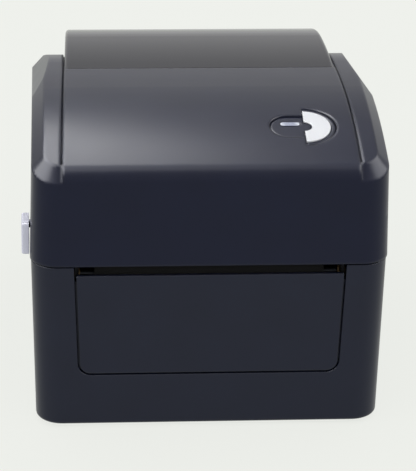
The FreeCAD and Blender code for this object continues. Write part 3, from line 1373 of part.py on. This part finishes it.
def head_heat_sink():
    y0 = PLATEN_Y - HEAD_FRONT
    y1 = PLATEN_Y + SINK_REAR
    pieces = [box(-HEAD_HALF, HEAD_HALF, y0, y1, SINK_Z, SINK_TOP)]
    for side in SIDES:
        x0 = EAR_HALF - HEAD_EAR_T / 2
        arm = box(x0, x0 + HEAD_EAR_T, y1 - HEAD_EAR_T, PIVOT_Y, PIVOT_Z - HEAD_EAR_R, PIVOT_Z + HEAD_EAR_R)
        knuckle = cyl_x(x0, x0 + HEAD_EAR_T, PIVOT_Y, PIVOT_Z, HEAD_EAR_R)
        pieces.append(on_side(side, fuse([arm, knuckle])))
    body = fuse(pieces)
    cuts = [cyl_x(-WIDTH, WIDTH, PIVOT_Y, PIVOT_Z, PIVOT_R + RUN_FIT)]
    pitch = (HEAD_REAR + HEAD_FRONT / 2) / SINK_FINS
    inner_half = BRACKET_POST_X + 2 * BRACKET_POST_R
    for n in range(SINK_FINS):
        y = y0 + (n + 1) * pitch
        cuts.append(box(-inner_half, inner_half, y, y + SINK_FIN_W,
                        SINK_TOP - SINK_FIN_D, SINK_TOP + SINK_FIN_D))
    return body.cut(cuts)


def head_springs():
    length = BRACKET_RISE - SPRING_WIRE - RUN_FIT
    pitch = length / SPRING_TURNS
    print("head spring least gap", round(coil_gap(SPRING_R, SPRING_TURNS, pitch, SPRING_WIRE), 3))
    springs = []
    for side in SIDES:
        spring = coil(SPRING_R, SPRING_TURNS, pitch, SPRING_WIRE)
        seat = SINK_TOP + (SPRING_WIRE + RUN_FIT) / 2
        spring.translate(V(side * SPRING_X, PLATEN_Y - SPRING_AHEAD, seat))
        springs.append(spring)
    return Part.makeCompound(springs)


def latch_shaft():
    left = SIDE_X + TAB_OFF + TAB_T / 2
    return cyl_x(-left, HOOK_X + HOOK_T + FLAT_FIT, LATCH_Y, LATCH_Z, LATCH_R)


def latch_hook(side):
    low = LATCH_Z - HOOK_DROP
    x1 = HOOK_X + HOOK_T
    eye = cyl_x(HOOK_X, x1, LATCH_Y, LATCH_Z, HOOK_EYE_R)
    arm = box(HOOK_X, x1, LATCH_Y - HOOK_HALF, LATCH_Y + HOOK_HALF, low, LATCH_Z)
    tip = LATCH_Y + HOOK_HALF + HOOK_NOSE
    nose = side_prism([(LATCH_Y, low), (LATCH_Y + HOOK_HALF, low), (tip, low + HOOK_NOSE),
                       (tip, low + HOOK_NOSE_T), (LATCH_Y, low + HOOK_NOSE_T)], HOOK_X, x1)
    body = fuse([eye, arm, nose])
    return on_side(side, body.cut(cyl_x(0, WIDTH, LATCH_Y, LATCH_Z, LATCH_R)))


def release_tab():
    x0 = SIDE_X + TAB_OFF
    z0 = LID_BOTTOM + TAB_RISE
    paddle = box(x0, x0 + TAB_T, LATCH_Y - TAB_LENGTH / 2, LATCH_Y + TAB_LENGTH / 2, z0, z0 + TAB_HEIGHT)
    outer = [e for e in paddle.Edges if e.BoundBox.XMax > x0 + TAB_T / 2]
    paddle = paddle.makeFillet(TAB_EDGE_R, outer)
    return mirrored(paddle.cut(cyl_x(0, x0 + TAB_T / 2, LATCH_Y, LATCH_Z, LATCH_R)))


def latch_spring():
    gap = coil_gap(LATCH_SPRING_R, LATCH_SPRING_TURNS, LATCH_SPRING_PITCH, SPRING_WIRE)
    print("latch spring least gap", round(gap, 3))
    spring = coil(LATCH_SPRING_R, LATCH_SPRING_TURNS, LATCH_SPRING_PITCH, SPRING_WIRE)
    spring.rotate(V(0, 0, 0), V(0, 1, 0), 90)
    spring.translate(V(-CHEEK_X + RUN_FIT + SPRING_WIRE / 2, LATCH_Y, LATCH_Z))
    return spring


def tear_bar():
    y0 = FRONT_Y + WALL
    low = LID_BOTTOM + RUN_FIT
    count = int(2 * TEAR_HALF / TEAR_PITCH)
    points = [(TEAR_HALF, low + TEAR_H), (-TEAR_HALF, low + TEAR_H)]
    for n in range(count):
        x = -TEAR_HALF + n * TEAR_PITCH
        points.append((x, low + TEAR_TOOTH))
        points.append((x + TEAR_PITCH / 2, low))
    points.append((TEAR_HALF, low + TEAR_TOOTH))
    return prism([V(x, y0, z) for x, z in points], V(0, TEAR_T, 0))


# Electrics

def main_board():
    y0 = REAR_INSIDE - BOARD_FRONT
    y1 = REAR_INSIDE - TRAY_CLEAR
    top = BOARD_Z + BOARD_T
    pieces = [box(-BOARD_HALF, BOARD_HALF, y0, y1, BOARD_Z, top)]
    for x, y, half, height in BOARD_CHIPS:
        pieces.append(box(x - half, x + half, y0 + y - half, y0 + y + half, top, top + height))
    pieces += [cyl_z(top, top + CAN_H, x, y0 + y, CAN_R) for x, y in BOARD_CANS]
    body = fuse(pieces)
    return body.cut([cyl_z(0, ROLL_Z, x, y, SCREW_R) for x, y in board_screw_places()])


def board_screws():
    seat = BOARD_Z + BOARD_T
    return Part.makeCompound([screw_down(x, y, seat, seat - FLOOR_Z) for x, y in board_screw_places()])


def usb_socket():
    z0 = BOARD_Z + BOARD_T
    y1 = BASE_REAR
    middle = z0 + SOCKET_H / 2
    body = box(USB_X - USB_W / 2, USB_X + USB_W / 2, y1 - USB_L, y1, z0, z0 + SOCKET_H)
    bore = box(USB_X - USB_BORE_W / 2, USB_X + USB_BORE_W / 2, y1 - USB_BORE_D, y1 + WALL,
               middle - USB_BORE_H / 2, middle + USB_BORE_H / 2)
    tongue = box(USB_X - USB_TONGUE_W / 2, USB_X + USB_TONGUE_W / 2, y1 - USB_BORE_D, y1 - CONTACT_IN,
                 middle - USB_TONGUE_H / 2, middle + USB_TONGUE_H / 2)
    return fuse([body.cut(bore), tongue])


def power_socket():
    z0 = BOARD_Z + BOARD_T
    y1 = BASE_REAR
    middle = z0 + SOCKET_H / 2
    body = box(DC_X - DC_W / 2, DC_X + DC_W / 2, y1 - DC_L, y1, z0, z0 + SOCKET_H)
    bore = cyl_y(y1 - DC_BORE_D, y1 + WALL, DC_X, middle, DC_BORE_R)
    pin = cyl_y(y1 - DC_BORE_D, y1 - CONTACT_IN, DC_X, middle, DC_PIN_R)
    return fuse([body.cut(bore), pin])


def switch_housing():
    y0 = BASE_REAR
    flange = box(ROCKER_X - SWITCH_W / 2, ROCKER_X + SWITCH_W / 2, y0, y0 + SWITCH_FLANGE_T,
                 ROCKER_Z - SWITCH_H / 2, ROCKER_Z + SWITCH_H / 2)
    half_w = SWITCH_W / 2 - SWITCH_LIP
    half_h = SWITCH_H / 2 - SWITCH_LIP
    body = box(ROCKER_X - half_w, ROCKER_X + half_w, y0 - SWITCH_BODY_L, y0,
               ROCKER_Z - half_h, ROCKER_Z + half_h)
    pocket_w = ROCKER_W / 2 + ROCKER_GAP
    pocket_h = ROCKER_H / 2 + ROCKER_GAP
    pocket = box(ROCKER_X - pocket_w, ROCKER_X + pocket_w, y0 - ROCKER_POCKET, y0 + WALL,
                 ROCKER_Z - pocket_h, ROCKER_Z + pocket_h)
    pin = cyl_z(ROCKER_Z - half_h, ROCKER_Z + half_h, ROCKER_X, BASE_REAR, ROCKER_PIN_R + RUN_FIT)
    return fuse([flange, body]).cut([pocket, pin])


def power_rocker():
    half_w = ROCKER_W / 2
    points = ((-half_w, -ROCKER_DEEP), (half_w, -ROCKER_DEEP), (half_w, ROCKER_RISE),
              (0, ROCKER_DIP), (-half_w, ROCKER_RISE))
    z0 = ROCKER_Z - ROCKER_H / 2
    cap = prism([V(ROCKER_X + u, BASE_REAR + v, z0) for u, v in points], V(0, 0, ROCKER_H))
    reach = SWITCH_H / 2 - SWITCH_LIP - FLAT_FIT
    pin = cyl_z(ROCKER_Z - reach, ROCKER_Z + reach, ROCKER_X, BASE_REAR, ROCKER_PIN_R)
    body = fuse([cap, pin])
    body.rotate(V(ROCKER_X, BASE_REAR, 0), V(0, 0, 1), -ROCKER_TILT)
    return body


def pieces():
    """Every node of the printer, by name."""
    left, right = SIDES
    holder_top = TROUGH_FLOOR - TRAY_T
    deck_under = DECK_Z - TRAY_T
    return {
        "base_housing": base_housing(),
        "front_panel": front_panel(),
        "rubber_feet": rubber_feet(),
        "side_frame_left": side_frame(left),
        "side_frame_right": side_frame(right),
        "frame_screws": frame_screws(),
        "latch_posts": latch_posts(),
        "platen_bushes": platen_bushes(),
        "drive_motor": drive_motor(),
        "motor_screws": motor_screws(),
        "reduction_pin": reduction_pin(),
        "media_tray": media_tray(),
        "tray_screws": tray_screws(),
        "holder_rack_cover": rack_cover(ROLL_Y, holder_top, holder_centre()),
        "guide_rack_cover": rack_cover(GUIDE_Y, deck_under, guide_centre()),
        "main_board": main_board(),
        "board_screws": board_screws(),
        "usb_socket": usb_socket(),
        "power_socket": power_socket(),
        "switch_housing": switch_housing(),
        "hinge_pins": hinge_pins(),
        "platen_shaft": platen_shaft(),
        "platen_roller": platen_roller(),
        "platen_gear": platen_gear(),
        "reduction_gear": reduction_gear(),
        "motor_shaft": motor_shaft(),
        "motor_pinion": motor_pinion(),
        "roll_holder_left": roll_holder(left),
        "roll_holder_right": roll_holder(right),
        "holder_rack_left": holder_rack(left),
        "holder_rack_right": holder_rack(right),
        "holder_pinion": rack_pinion(ROLL_Y, holder_top - FLAT_FIT),
        "label_guide_left": label_guide(left),
        "label_guide_right": label_guide(right),
        "guide_rack_left": guide_rack(left),
        "guide_rack_right": guide_rack(right),
        "guide_pinion": rack_pinion(GUIDE_Y, deck_under - FLAT_FIT),
        "media_sensor": media_sensor(),
        "power_rocker": power_rocker(),
        "top_cover": top_cover(),
        "roll_window": roll_window(),
        "button_bezel": button_bezel(),
        "status_lens": status_lens(),
        "button_board": button_board(),
        "lid_inner_frame": lid_inner_frame(),
        "lid_screws": lid_screws(),
        "head_bracket": head_bracket(),
        "head_pivot_pin": head_pivot_pin(),
        "head_springs": head_springs(),
        "latch_spring": latch_spring(),
        "tear_bar": tear_bar(),
        "print_head": print_head(),
        "head_heat_sink": head_heat_sink(),
        "latch_shaft": latch_shaft(),
        "latch_hook_left": latch_hook(left),
        "latch_hook_right": latch_hook(right),
        "release_tab": release_tab(),
        "feed_button": feed_button(),
    }


os.makedirs("parts", exist_ok=True)
for name, shape in pieces().items():
    shape.translate(V(SIDE_SHIFT, 0, 0))
    shape.exportStep("parts/" + name + ".step")
    print(name, len(shape.Solids), shape.isValid(), round(shape.Volume, 1))
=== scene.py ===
import bpy
import math
from mathutils import Matrix, Vector


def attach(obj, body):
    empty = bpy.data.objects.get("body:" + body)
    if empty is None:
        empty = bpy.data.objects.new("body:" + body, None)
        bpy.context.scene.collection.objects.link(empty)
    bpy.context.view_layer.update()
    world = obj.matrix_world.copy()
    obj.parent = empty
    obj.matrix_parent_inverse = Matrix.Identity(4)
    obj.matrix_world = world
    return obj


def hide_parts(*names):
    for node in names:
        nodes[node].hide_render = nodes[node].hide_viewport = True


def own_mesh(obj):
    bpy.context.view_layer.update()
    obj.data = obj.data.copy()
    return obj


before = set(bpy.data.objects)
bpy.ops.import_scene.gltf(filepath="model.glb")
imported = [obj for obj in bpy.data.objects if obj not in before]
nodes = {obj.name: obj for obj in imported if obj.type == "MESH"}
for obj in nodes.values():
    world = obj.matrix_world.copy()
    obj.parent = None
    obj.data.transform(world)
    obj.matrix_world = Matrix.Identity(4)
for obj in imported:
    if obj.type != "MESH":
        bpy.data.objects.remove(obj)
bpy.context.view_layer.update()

# Lengths are in metres and angles in degrees, unless a comment says otherwise.

# The camera, in the printer's own frame
CAMERA_AT = (-0.0749, -1.1737, 0.588)
CAMERA_YAW = 4.031
CAMERA_PITCH = 24.253
CAMERA_ROLL = 1.054
CAMERA_LENS = 183.15       # millimetres
CAMERA_SENSOR = 36.0       # millimetres, across
CAMERA_NEAR = 0.05
CAMERA_FAR = 50.0

SMOOTH_ANGLE = 28.0        # an edge that turns further than this stays sharp

# The pale surroundings
BACKGROUND = (0.863, 0.879, 0.839)
SKY_STRENGTH = 0.985
FLOOR_SIZE = 12.0
FLOOR_GLOW = 0.88          # share of the floor's own light, so that its shadow stays faint
FLOOR_SCALE = 3.0
FLOOR_VARY = 0.004

# Finishes. A SCALE is noise per metre, a DETAIL its octaves, a VARY the share by which the
# noise moves a colour or a roughness either way, and a RELIEF the strength of a bump.
NOISE_LOW = 0.3            # where a ramp over the noise starts
NOISE_HIGH = 0.7           # and ends
NOISE_DETAIL = 2.0
TINT_SCALE = 45.0
SHEEN_SCALE = 70.0
SHEEN_VARY = 0.04
GRAIN_SCALE = 1800.0
RUBBER_SCALE = 2500.0
GRAIN_RELIEF = 0.06
GRAIN_VARY = 0.05
DRAWN_SCALE = 300.0
DRAWN_DETAIL = 3.0
DRAWN_RELIEF = 0.05
DRAWN_TINT_VARY = 0.08
DRAWN_SHEEN_VARY = 0.2
FROST_SCALE = 1500.0
FROST_RELIEF = 0.1
TRACK_SCALE = 160.0
RELIEF_DEPTH = 0.0001
LENS_MIDDLE = (0.3, 0.7)   # shares of the lens's length between which it is darker

# Radius of the soft edges that only the shading has
LID_EDGE = 0.0022
BASE_EDGE = 0.0012
PLASTIC_EDGE = 0.0003
METAL_EDGE = 0.0002
NO_EDGE = 0.0
EDGE_SAMPLES = 8

# How far the lines in a metal are stretched: a low number is the way they run
ALONG_X = (0.1, 1.0, 1.0)
ALONG_Y = (1.0, 0.1, 1.0)
EXTRUDED_X = (0.08, 1.0, 1.0)
EVEN = (1.0, 1.0, 1.0)

# Soft panels: place, aim, width, height and power in watts
SOFTBOXES = {
    "panel_behind_left": ((-0.34, 0.45, 1.05), (-0.06, -0.08, 0.145), 0.75, 0.5, 16.0),
    "panel_above": ((-0.18, -0.1, 1.2), (-0.04, -0.1, 0.14), 0.9, 0.6, 5.0),
    "panel_left": ((-0.62, -0.16, 0.8), (-0.08, -0.1, 0.135), 0.9, 0.9, 36.0),
    "panel_right": ((0.7, -0.12, 0.74), (0.08, -0.1, 0.135), 0.8, 0.8, 15.0),
}


def new_material(name):
    """A node material, its tree and its Principled shader."""
    material = bpy.data.materials.new(name)
    material.use_nodes = True
    tree = material.node_tree
    return material, tree, tree.nodes["Principled BSDF"]


def noise(tree, scale, detail=NOISE_DETAIL, stretch=None):
    """Noise in the piece's own coordinates, stretched if asked."""
    place = tree.nodes.new("ShaderNodeTexCoord")
    texture = tree.nodes.new("ShaderNodeTexNoise")
    texture.inputs["Scale"].default_value = scale
    texture.inputs["Detail"].default_value = detail
    source = place.outputs["Object"]
    if stretch:
        mapping = tree.nodes.new("ShaderNodeMapping")
        mapping.inputs["Scale"].default_value = stretch
        tree.links.new(source, mapping.inputs["Vector"])
        source = mapping.outputs["Vector"]
    tree.links.new(source, texture.inputs["Vector"])
    return texture.outputs["Fac"]


def ramp(tree, factor, low, high):
    """A colour that follows the noise between two ends."""
    node = tree.nodes.new("ShaderNodeValToRGB")
    start, end = node.color_ramp.elements
    start.position = NOISE_LOW
    end.position = NOISE_HIGH
    start.color = (*low, 1.0)
    end.color = (*high, 1.0)
    tree.links.new(factor, node.inputs["Fac"])
    return node.outputs["Color"]


def spread(colour, share):
    """A darker and a lighter neighbour of a colour."""
    return tuple(c * (1 - share) for c in colour), tuple(c * (1 + share) for c in colour)


def grey(value):
    """A roughness, written as a colour so that a ramp can hold it."""
    return (value,) * 3


def bump(tree, shader, height, relief, edge):
    """Fine relief, on top of slightly rounded edges."""
    node = tree.nodes.new("ShaderNodeBump")
    node.inputs["Strength"].default_value = relief
    node.inputs["Distance"].default_value = RELIEF_DEPTH
    tree.links.new(height, node.inputs["Height"])
    if edge:
        rounded = tree.nodes.new("ShaderNodeBevel")
        rounded.samples = EDGE_SAMPLES
        rounded.inputs["Radius"].default_value = edge
        tree.links.new(rounded.outputs["Normal"], node.inputs["Normal"])
    tree.links.new(node.outputs["Normal"], shader.inputs["Normal"])


def plastic(name, colour, rough, specular=0.5, grain=GRAIN_SCALE, relief=GRAIN_RELIEF,
            edge=PLASTIC_EDGE, vary=GRAIN_VARY):
    """Moulded plastic, rubber or glaze with a fine grain."""
    material, tree, shader = new_material(name)
    tint = ramp(tree, noise(tree, TINT_SCALE), *spread(colour, vary))
    sheen = ramp(tree, noise(tree, SHEEN_SCALE), *spread(grey(rough), SHEEN_VARY))
    tree.links.new(tint, shader.inputs["Base Color"])
    tree.links.new(sheen, shader.inputs["Roughness"])
    shader.inputs["Specular IOR Level"].default_value = specular
    bump(tree, shader, noise(tree, grain), relief, edge)
    return material


def metal(name, colour, rough, stretch):
    """Metal with drawn or ground lines."""
    material, tree, shader = new_material(name)
    lines = noise(tree, DRAWN_SCALE, DRAWN_DETAIL, stretch)
    tint = ramp(tree, lines, *spread(colour, DRAWN_TINT_VARY))
    sheen = ramp(tree, lines, *spread(grey(rough), DRAWN_SHEEN_VARY))
    tree.links.new(tint, shader.inputs["Base Color"])
    tree.links.new(sheen, shader.inputs["Roughness"])
    shader.inputs["Metallic"].default_value = 1.0
    bump(tree, shader, lines, DRAWN_RELIEF, METAL_EDGE)
    return material


def circuit(name):
    """Green solder mask with faint tracks."""
    material, tree, shader = new_material(name)
    place = tree.nodes.new("ShaderNodeTexCoord")
    tracks = tree.nodes.new("ShaderNodeTexBrick")
    tracks.inputs["Scale"].default_value = TRACK_SCALE
    tracks.inputs["Color1"].default_value = (0.012, 0.085, 0.035, 1.0)
    tracks.inputs["Color2"].default_value = (0.016, 0.1, 0.042, 1.0)
    tracks.inputs["Mortar"].default_value = (0.03, 0.16, 0.07, 1.0)
    tree.links.new(place.outputs["Object"], tracks.inputs["Vector"])
    tree.links.new(tracks.outputs["Color"], shader.inputs["Base Color"])
    shader.inputs["Roughness"].default_value = 0.35
    return material


def lens(name):
    """The frosted light guide over the status light, paler at its ends."""
    pale = (0.68, 0.72, 0.8, 1.0)
    dark = (0.3, 0.33, 0.44, 1.0)
    material, tree, shader = new_material(name)
    place = tree.nodes.new("ShaderNodeTexCoord")
    along = tree.nodes.new("ShaderNodeSeparateXYZ")
    tree.links.new(place.outputs["Generated"], along.inputs["Vector"])
    tint = tree.nodes.new("ShaderNodeValToRGB")
    stops = tint.color_ramp.elements
    stops[0].color = pale
    stops[1].color = pale
    for at in LENS_MIDDLE:
        stops.new(at).color = dark
    tree.links.new(along.outputs["X"], tint.inputs["Fac"])
    tree.links.new(tint.outputs["Color"], shader.inputs["Base Color"])
    shader.inputs["Roughness"].default_value = 0.3
    bump(tree, shader, noise(tree, FROST_SCALE), FROST_RELIEF, NO_EDGE)
    return material


def make_materials():
    """One material for each finish, and the nodes that wear it."""
    case = plastic("case_plastic", (0.0035, 0.0055, 0.0205), rough=0.3, specular=0.2, edge=LID_EDGE)
    base = plastic("base_plastic", (0.0068, 0.0092, 0.0222), rough=0.32, specular=0.24, edge=BASE_EDGE)
    window = plastic("window_plastic", (0.005, 0.0048, 0.011), rough=0.14, specular=0.17, relief=0.03)
    inner = plastic("inner_plastic", (0.02, 0.0205, 0.022), rough=0.5, specular=0.4)
    button = plastic("button_white", (0.72, 0.735, 0.77), rough=0.34, relief=0.05, vary=0.03)
    tab = plastic("tab_grey", (0.61, 0.62, 0.73), rough=0.4, vary=0.04)
    light = lens("light_guide")
    gear = plastic("acetal", (0.62, 0.6, 0.54), rough=0.4, vary=0.04)
    platen = plastic("platen_rubber", (0.016, 0.016, 0.016), rough=0.72, specular=0.3,
                     grain=RUBBER_SCALE, edge=NO_EDGE)
    foot = plastic("foot_rubber", (0.012, 0.012, 0.012), rough=0.8, specular=0.2)
    glaze = plastic("glazed_ceramic", (0.16, 0.07, 0.035), rough=0.2, relief=0.02)
    steel = metal("bright_steel", (0.55, 0.56, 0.57), 0.28, ALONG_X)
    blued = metal("blued_steel", (0.035, 0.037, 0.042), 0.4, ALONG_X)
    sheet = metal("zinc_sheet", (0.6, 0.61, 0.62), 0.36, ALONG_Y)
    # Painted shade: the side frames, latch posts and tear bar are made near black so that the exit slot
    # looks shaded and shows no glints.
    slot_shade_metal = metal("slot_shade_zinc", (0.02, 0.02, 0.022), 0.42, ALONG_Y)
    alloy = metal("extruded_alloy", (0.68, 0.69, 0.7), 0.33, EXTRUDED_X)
    bronze = metal("sintered_bronze", (0.2, 0.14, 0.075), 0.5, EVEN)
    board = circuit("solder_mask")
    wears = {
        case: ("top_cover", "button_bezel"),
        base: ("base_housing", "front_panel"),
        window: ("roll_window",),
        inner: ("media_tray", "holder_rack_cover", "guide_rack_cover", "power_socket", "switch_housing",
                "roll_holder_left", "roll_holder_right", "label_guide_left", "label_guide_right",
                "media_sensor", "power_rocker", "lid_inner_frame", "latch_hook_left", "latch_hook_right"),
        button: ("feed_button",),
        tab: ("release_tab",),
        light: ("status_lens",),
        gear: ("platen_gear", "reduction_gear", "holder_rack_left", "holder_rack_right", "holder_pinion",
               "guide_rack_left", "guide_rack_right", "guide_pinion"),
        platen: ("platen_roller",),
        foot: ("rubber_feet",),
        glaze: ("print_head",),
        steel: ("frame_screws", "motor_screws", "reduction_pin", "tray_screws", "board_screws",
                "hinge_pins", "motor_shaft", "lid_screws", "head_pivot_pin", "head_springs",
                "latch_spring"),
        blued: ("platen_shaft", "latch_shaft"),
        sheet: ("drive_motor", "usb_socket", "head_bracket"),
        # painted shade: these parts are dark so that the exit slot looks shaded
        slot_shade_metal: ("side_frame_left", "side_frame_right", "latch_posts", "tear_bar"),
        alloy: ("head_heat_sink",),
        bronze: ("platen_bushes", "motor_pinion"),
        board: ("main_board", "button_board"),
    }
    for material, names in wears.items():
        for name in names:
            mesh = nodes[name].data
            mesh.materials.clear()
            mesh.materials.append(material)


def smooth_shading():
    """Round faces look round, and edges over the angle stay sharp."""
    for piece in nodes.values():
        mesh = piece.data
        mesh.polygons.foreach_set("use_smooth", [True] * len(mesh.polygons))
        mesh.set_sharp_from_angle(angle=math.radians(SMOOTH_ANGLE))


def add_springs():
    """A copy of the head's springs with its own mesh, which rides with the lid in place of the original.
    """
    coils = bpy.data.objects.new("head_coils", nodes["head_springs"].data.copy())
    bpy.context.scene.collection.objects.link(coils)
    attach(coils, "lid")
    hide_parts("head_springs")
    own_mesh(coils)


def add_floor():
    """A wide pale floor, which glows a little where the camera or a reflection sees it."""
    bpy.ops.mesh.primitive_plane_add(size=FLOOR_SIZE, location=(0, 0, 0))
    floor = bpy.context.object
    floor.name = "floor"
    material, tree, shader = new_material("pale_floor")
    tint = ramp(tree, noise(tree, FLOOR_SCALE), *spread(BACKGROUND, FLOOR_VARY))
    tree.links.new(tint, shader.inputs["Base Color"])
    shader.inputs["Roughness"].default_value = 1.0
    shader.inputs["Specular IOR Level"].default_value = 0.0
    glow = tree.nodes.new("ShaderNodeEmission")
    glow.inputs["Color"].default_value = (*BACKGROUND, 1.0)
    seen = tree.nodes.new("ShaderNodeLightPath")
    either = tree.nodes.new("ShaderNodeMath")
    either.operation = "MAXIMUM"
    tree.links.new(seen.outputs["Is Camera Ray"], either.inputs[0])
    tree.links.new(seen.outputs["Is Glossy Ray"], either.inputs[1])
    share = tree.nodes.new("ShaderNodeMath")
    share.operation = "MULTIPLY"
    share.inputs[1].default_value = FLOOR_GLOW
    tree.links.new(either.outputs["Value"], share.inputs[0])
    mix = tree.nodes.new("ShaderNodeMixShader")
    tree.links.new(share.outputs["Value"], mix.inputs["Fac"])
    tree.links.new(shader.outputs["BSDF"], mix.inputs[1])
    tree.links.new(glow.outputs["Emission"], mix.inputs[2])
    tree.links.new(mix.outputs["Shader"], tree.nodes["Material Output"].inputs["Surface"])
    floor.data.materials.append(material)


def add_sky():
    """An even white sky, which the camera sees in the floor's colour."""
    world = bpy.data.worlds.new("studio")
    world.use_nodes = True
    tree = world.node_tree
    light = tree.nodes["Background"]
    light.inputs["Color"].default_value = (1.0, 1.0, 1.0, 1.0)
    light.inputs["Strength"].default_value = SKY_STRENGTH
    backdrop = tree.nodes.new("ShaderNodeBackground")
    backdrop.inputs["Color"].default_value = (*BACKGROUND, 1.0)
    seen = tree.nodes.new("ShaderNodeLightPath")
    mix = tree.nodes.new("ShaderNodeMixShader")
    tree.links.new(seen.outputs["Is Camera Ray"], mix.inputs["Fac"])
    tree.links.new(light.outputs["Background"], mix.inputs[1])
    tree.links.new(backdrop.outputs["Background"], mix.inputs[2])
    tree.links.new(mix.outputs["Shader"], tree.nodes["World Output"].inputs["Surface"])
    bpy.context.scene.world = world


def add_softbox(name, at, towards, width, height, power):
    """A soft panel that shows only as a sheen on the printer."""
    light = bpy.data.lights.new(name, "AREA")
    light.shape = "RECTANGLE"
    light.size = width
    light.size_y = height
    light.energy = power
    panel = bpy.data.objects.new(name, light)
    bpy.context.scene.collection.objects.link(panel)
    panel.location = at
    panel.rotation_euler = (Vector(towards) - Vector(at)).to_track_quat("-Z", "Y").to_euler()
    panel.visible_diffuse = False
    panel.visible_camera = False


def add_camera():
    """The camera, turned right by its yaw and down by its pitch, then rolled."""
    yaw = math.radians(CAMERA_YAW)
    pitch = math.radians(CAMERA_PITCH)
    roll = math.radians(CAMERA_ROLL)
    ahead = Vector((math.sin(yaw) * math.cos(pitch), math.cos(yaw) * math.cos(pitch), -math.sin(pitch)))
    level = ahead.cross(Vector((0, 0, 1))).normalized()
    above = level.cross(ahead)
    right = level * math.cos(roll) + above * math.sin(roll)
    up = above * math.cos(roll) - level * math.sin(roll)
    data = bpy.data.cameras.new("camera")
    data.lens = CAMERA_LENS
    data.sensor_width = CAMERA_SENSOR
    data.clip_start = CAMERA_NEAR
    data.clip_end = CAMERA_FAR
    camera = bpy.data.objects.new("camera", data)
    bpy.context.scene.collection.objects.link(camera)
    axes = Matrix((right, up, -ahead)).transposed().to_4x4()
    camera.matrix_world = Matrix.Translation(CAMERA_AT) @ axes
    bpy.context.scene.camera = camera


make_materials()
smooth_shading()
add_springs()
add_floor()
add_sky()
for panel_name, panel in SOFTBOXES.items():
    add_softbox(panel_name, *panel)
add_camera()
bpy.context.scene.view_settings.view_transform = "Standard"
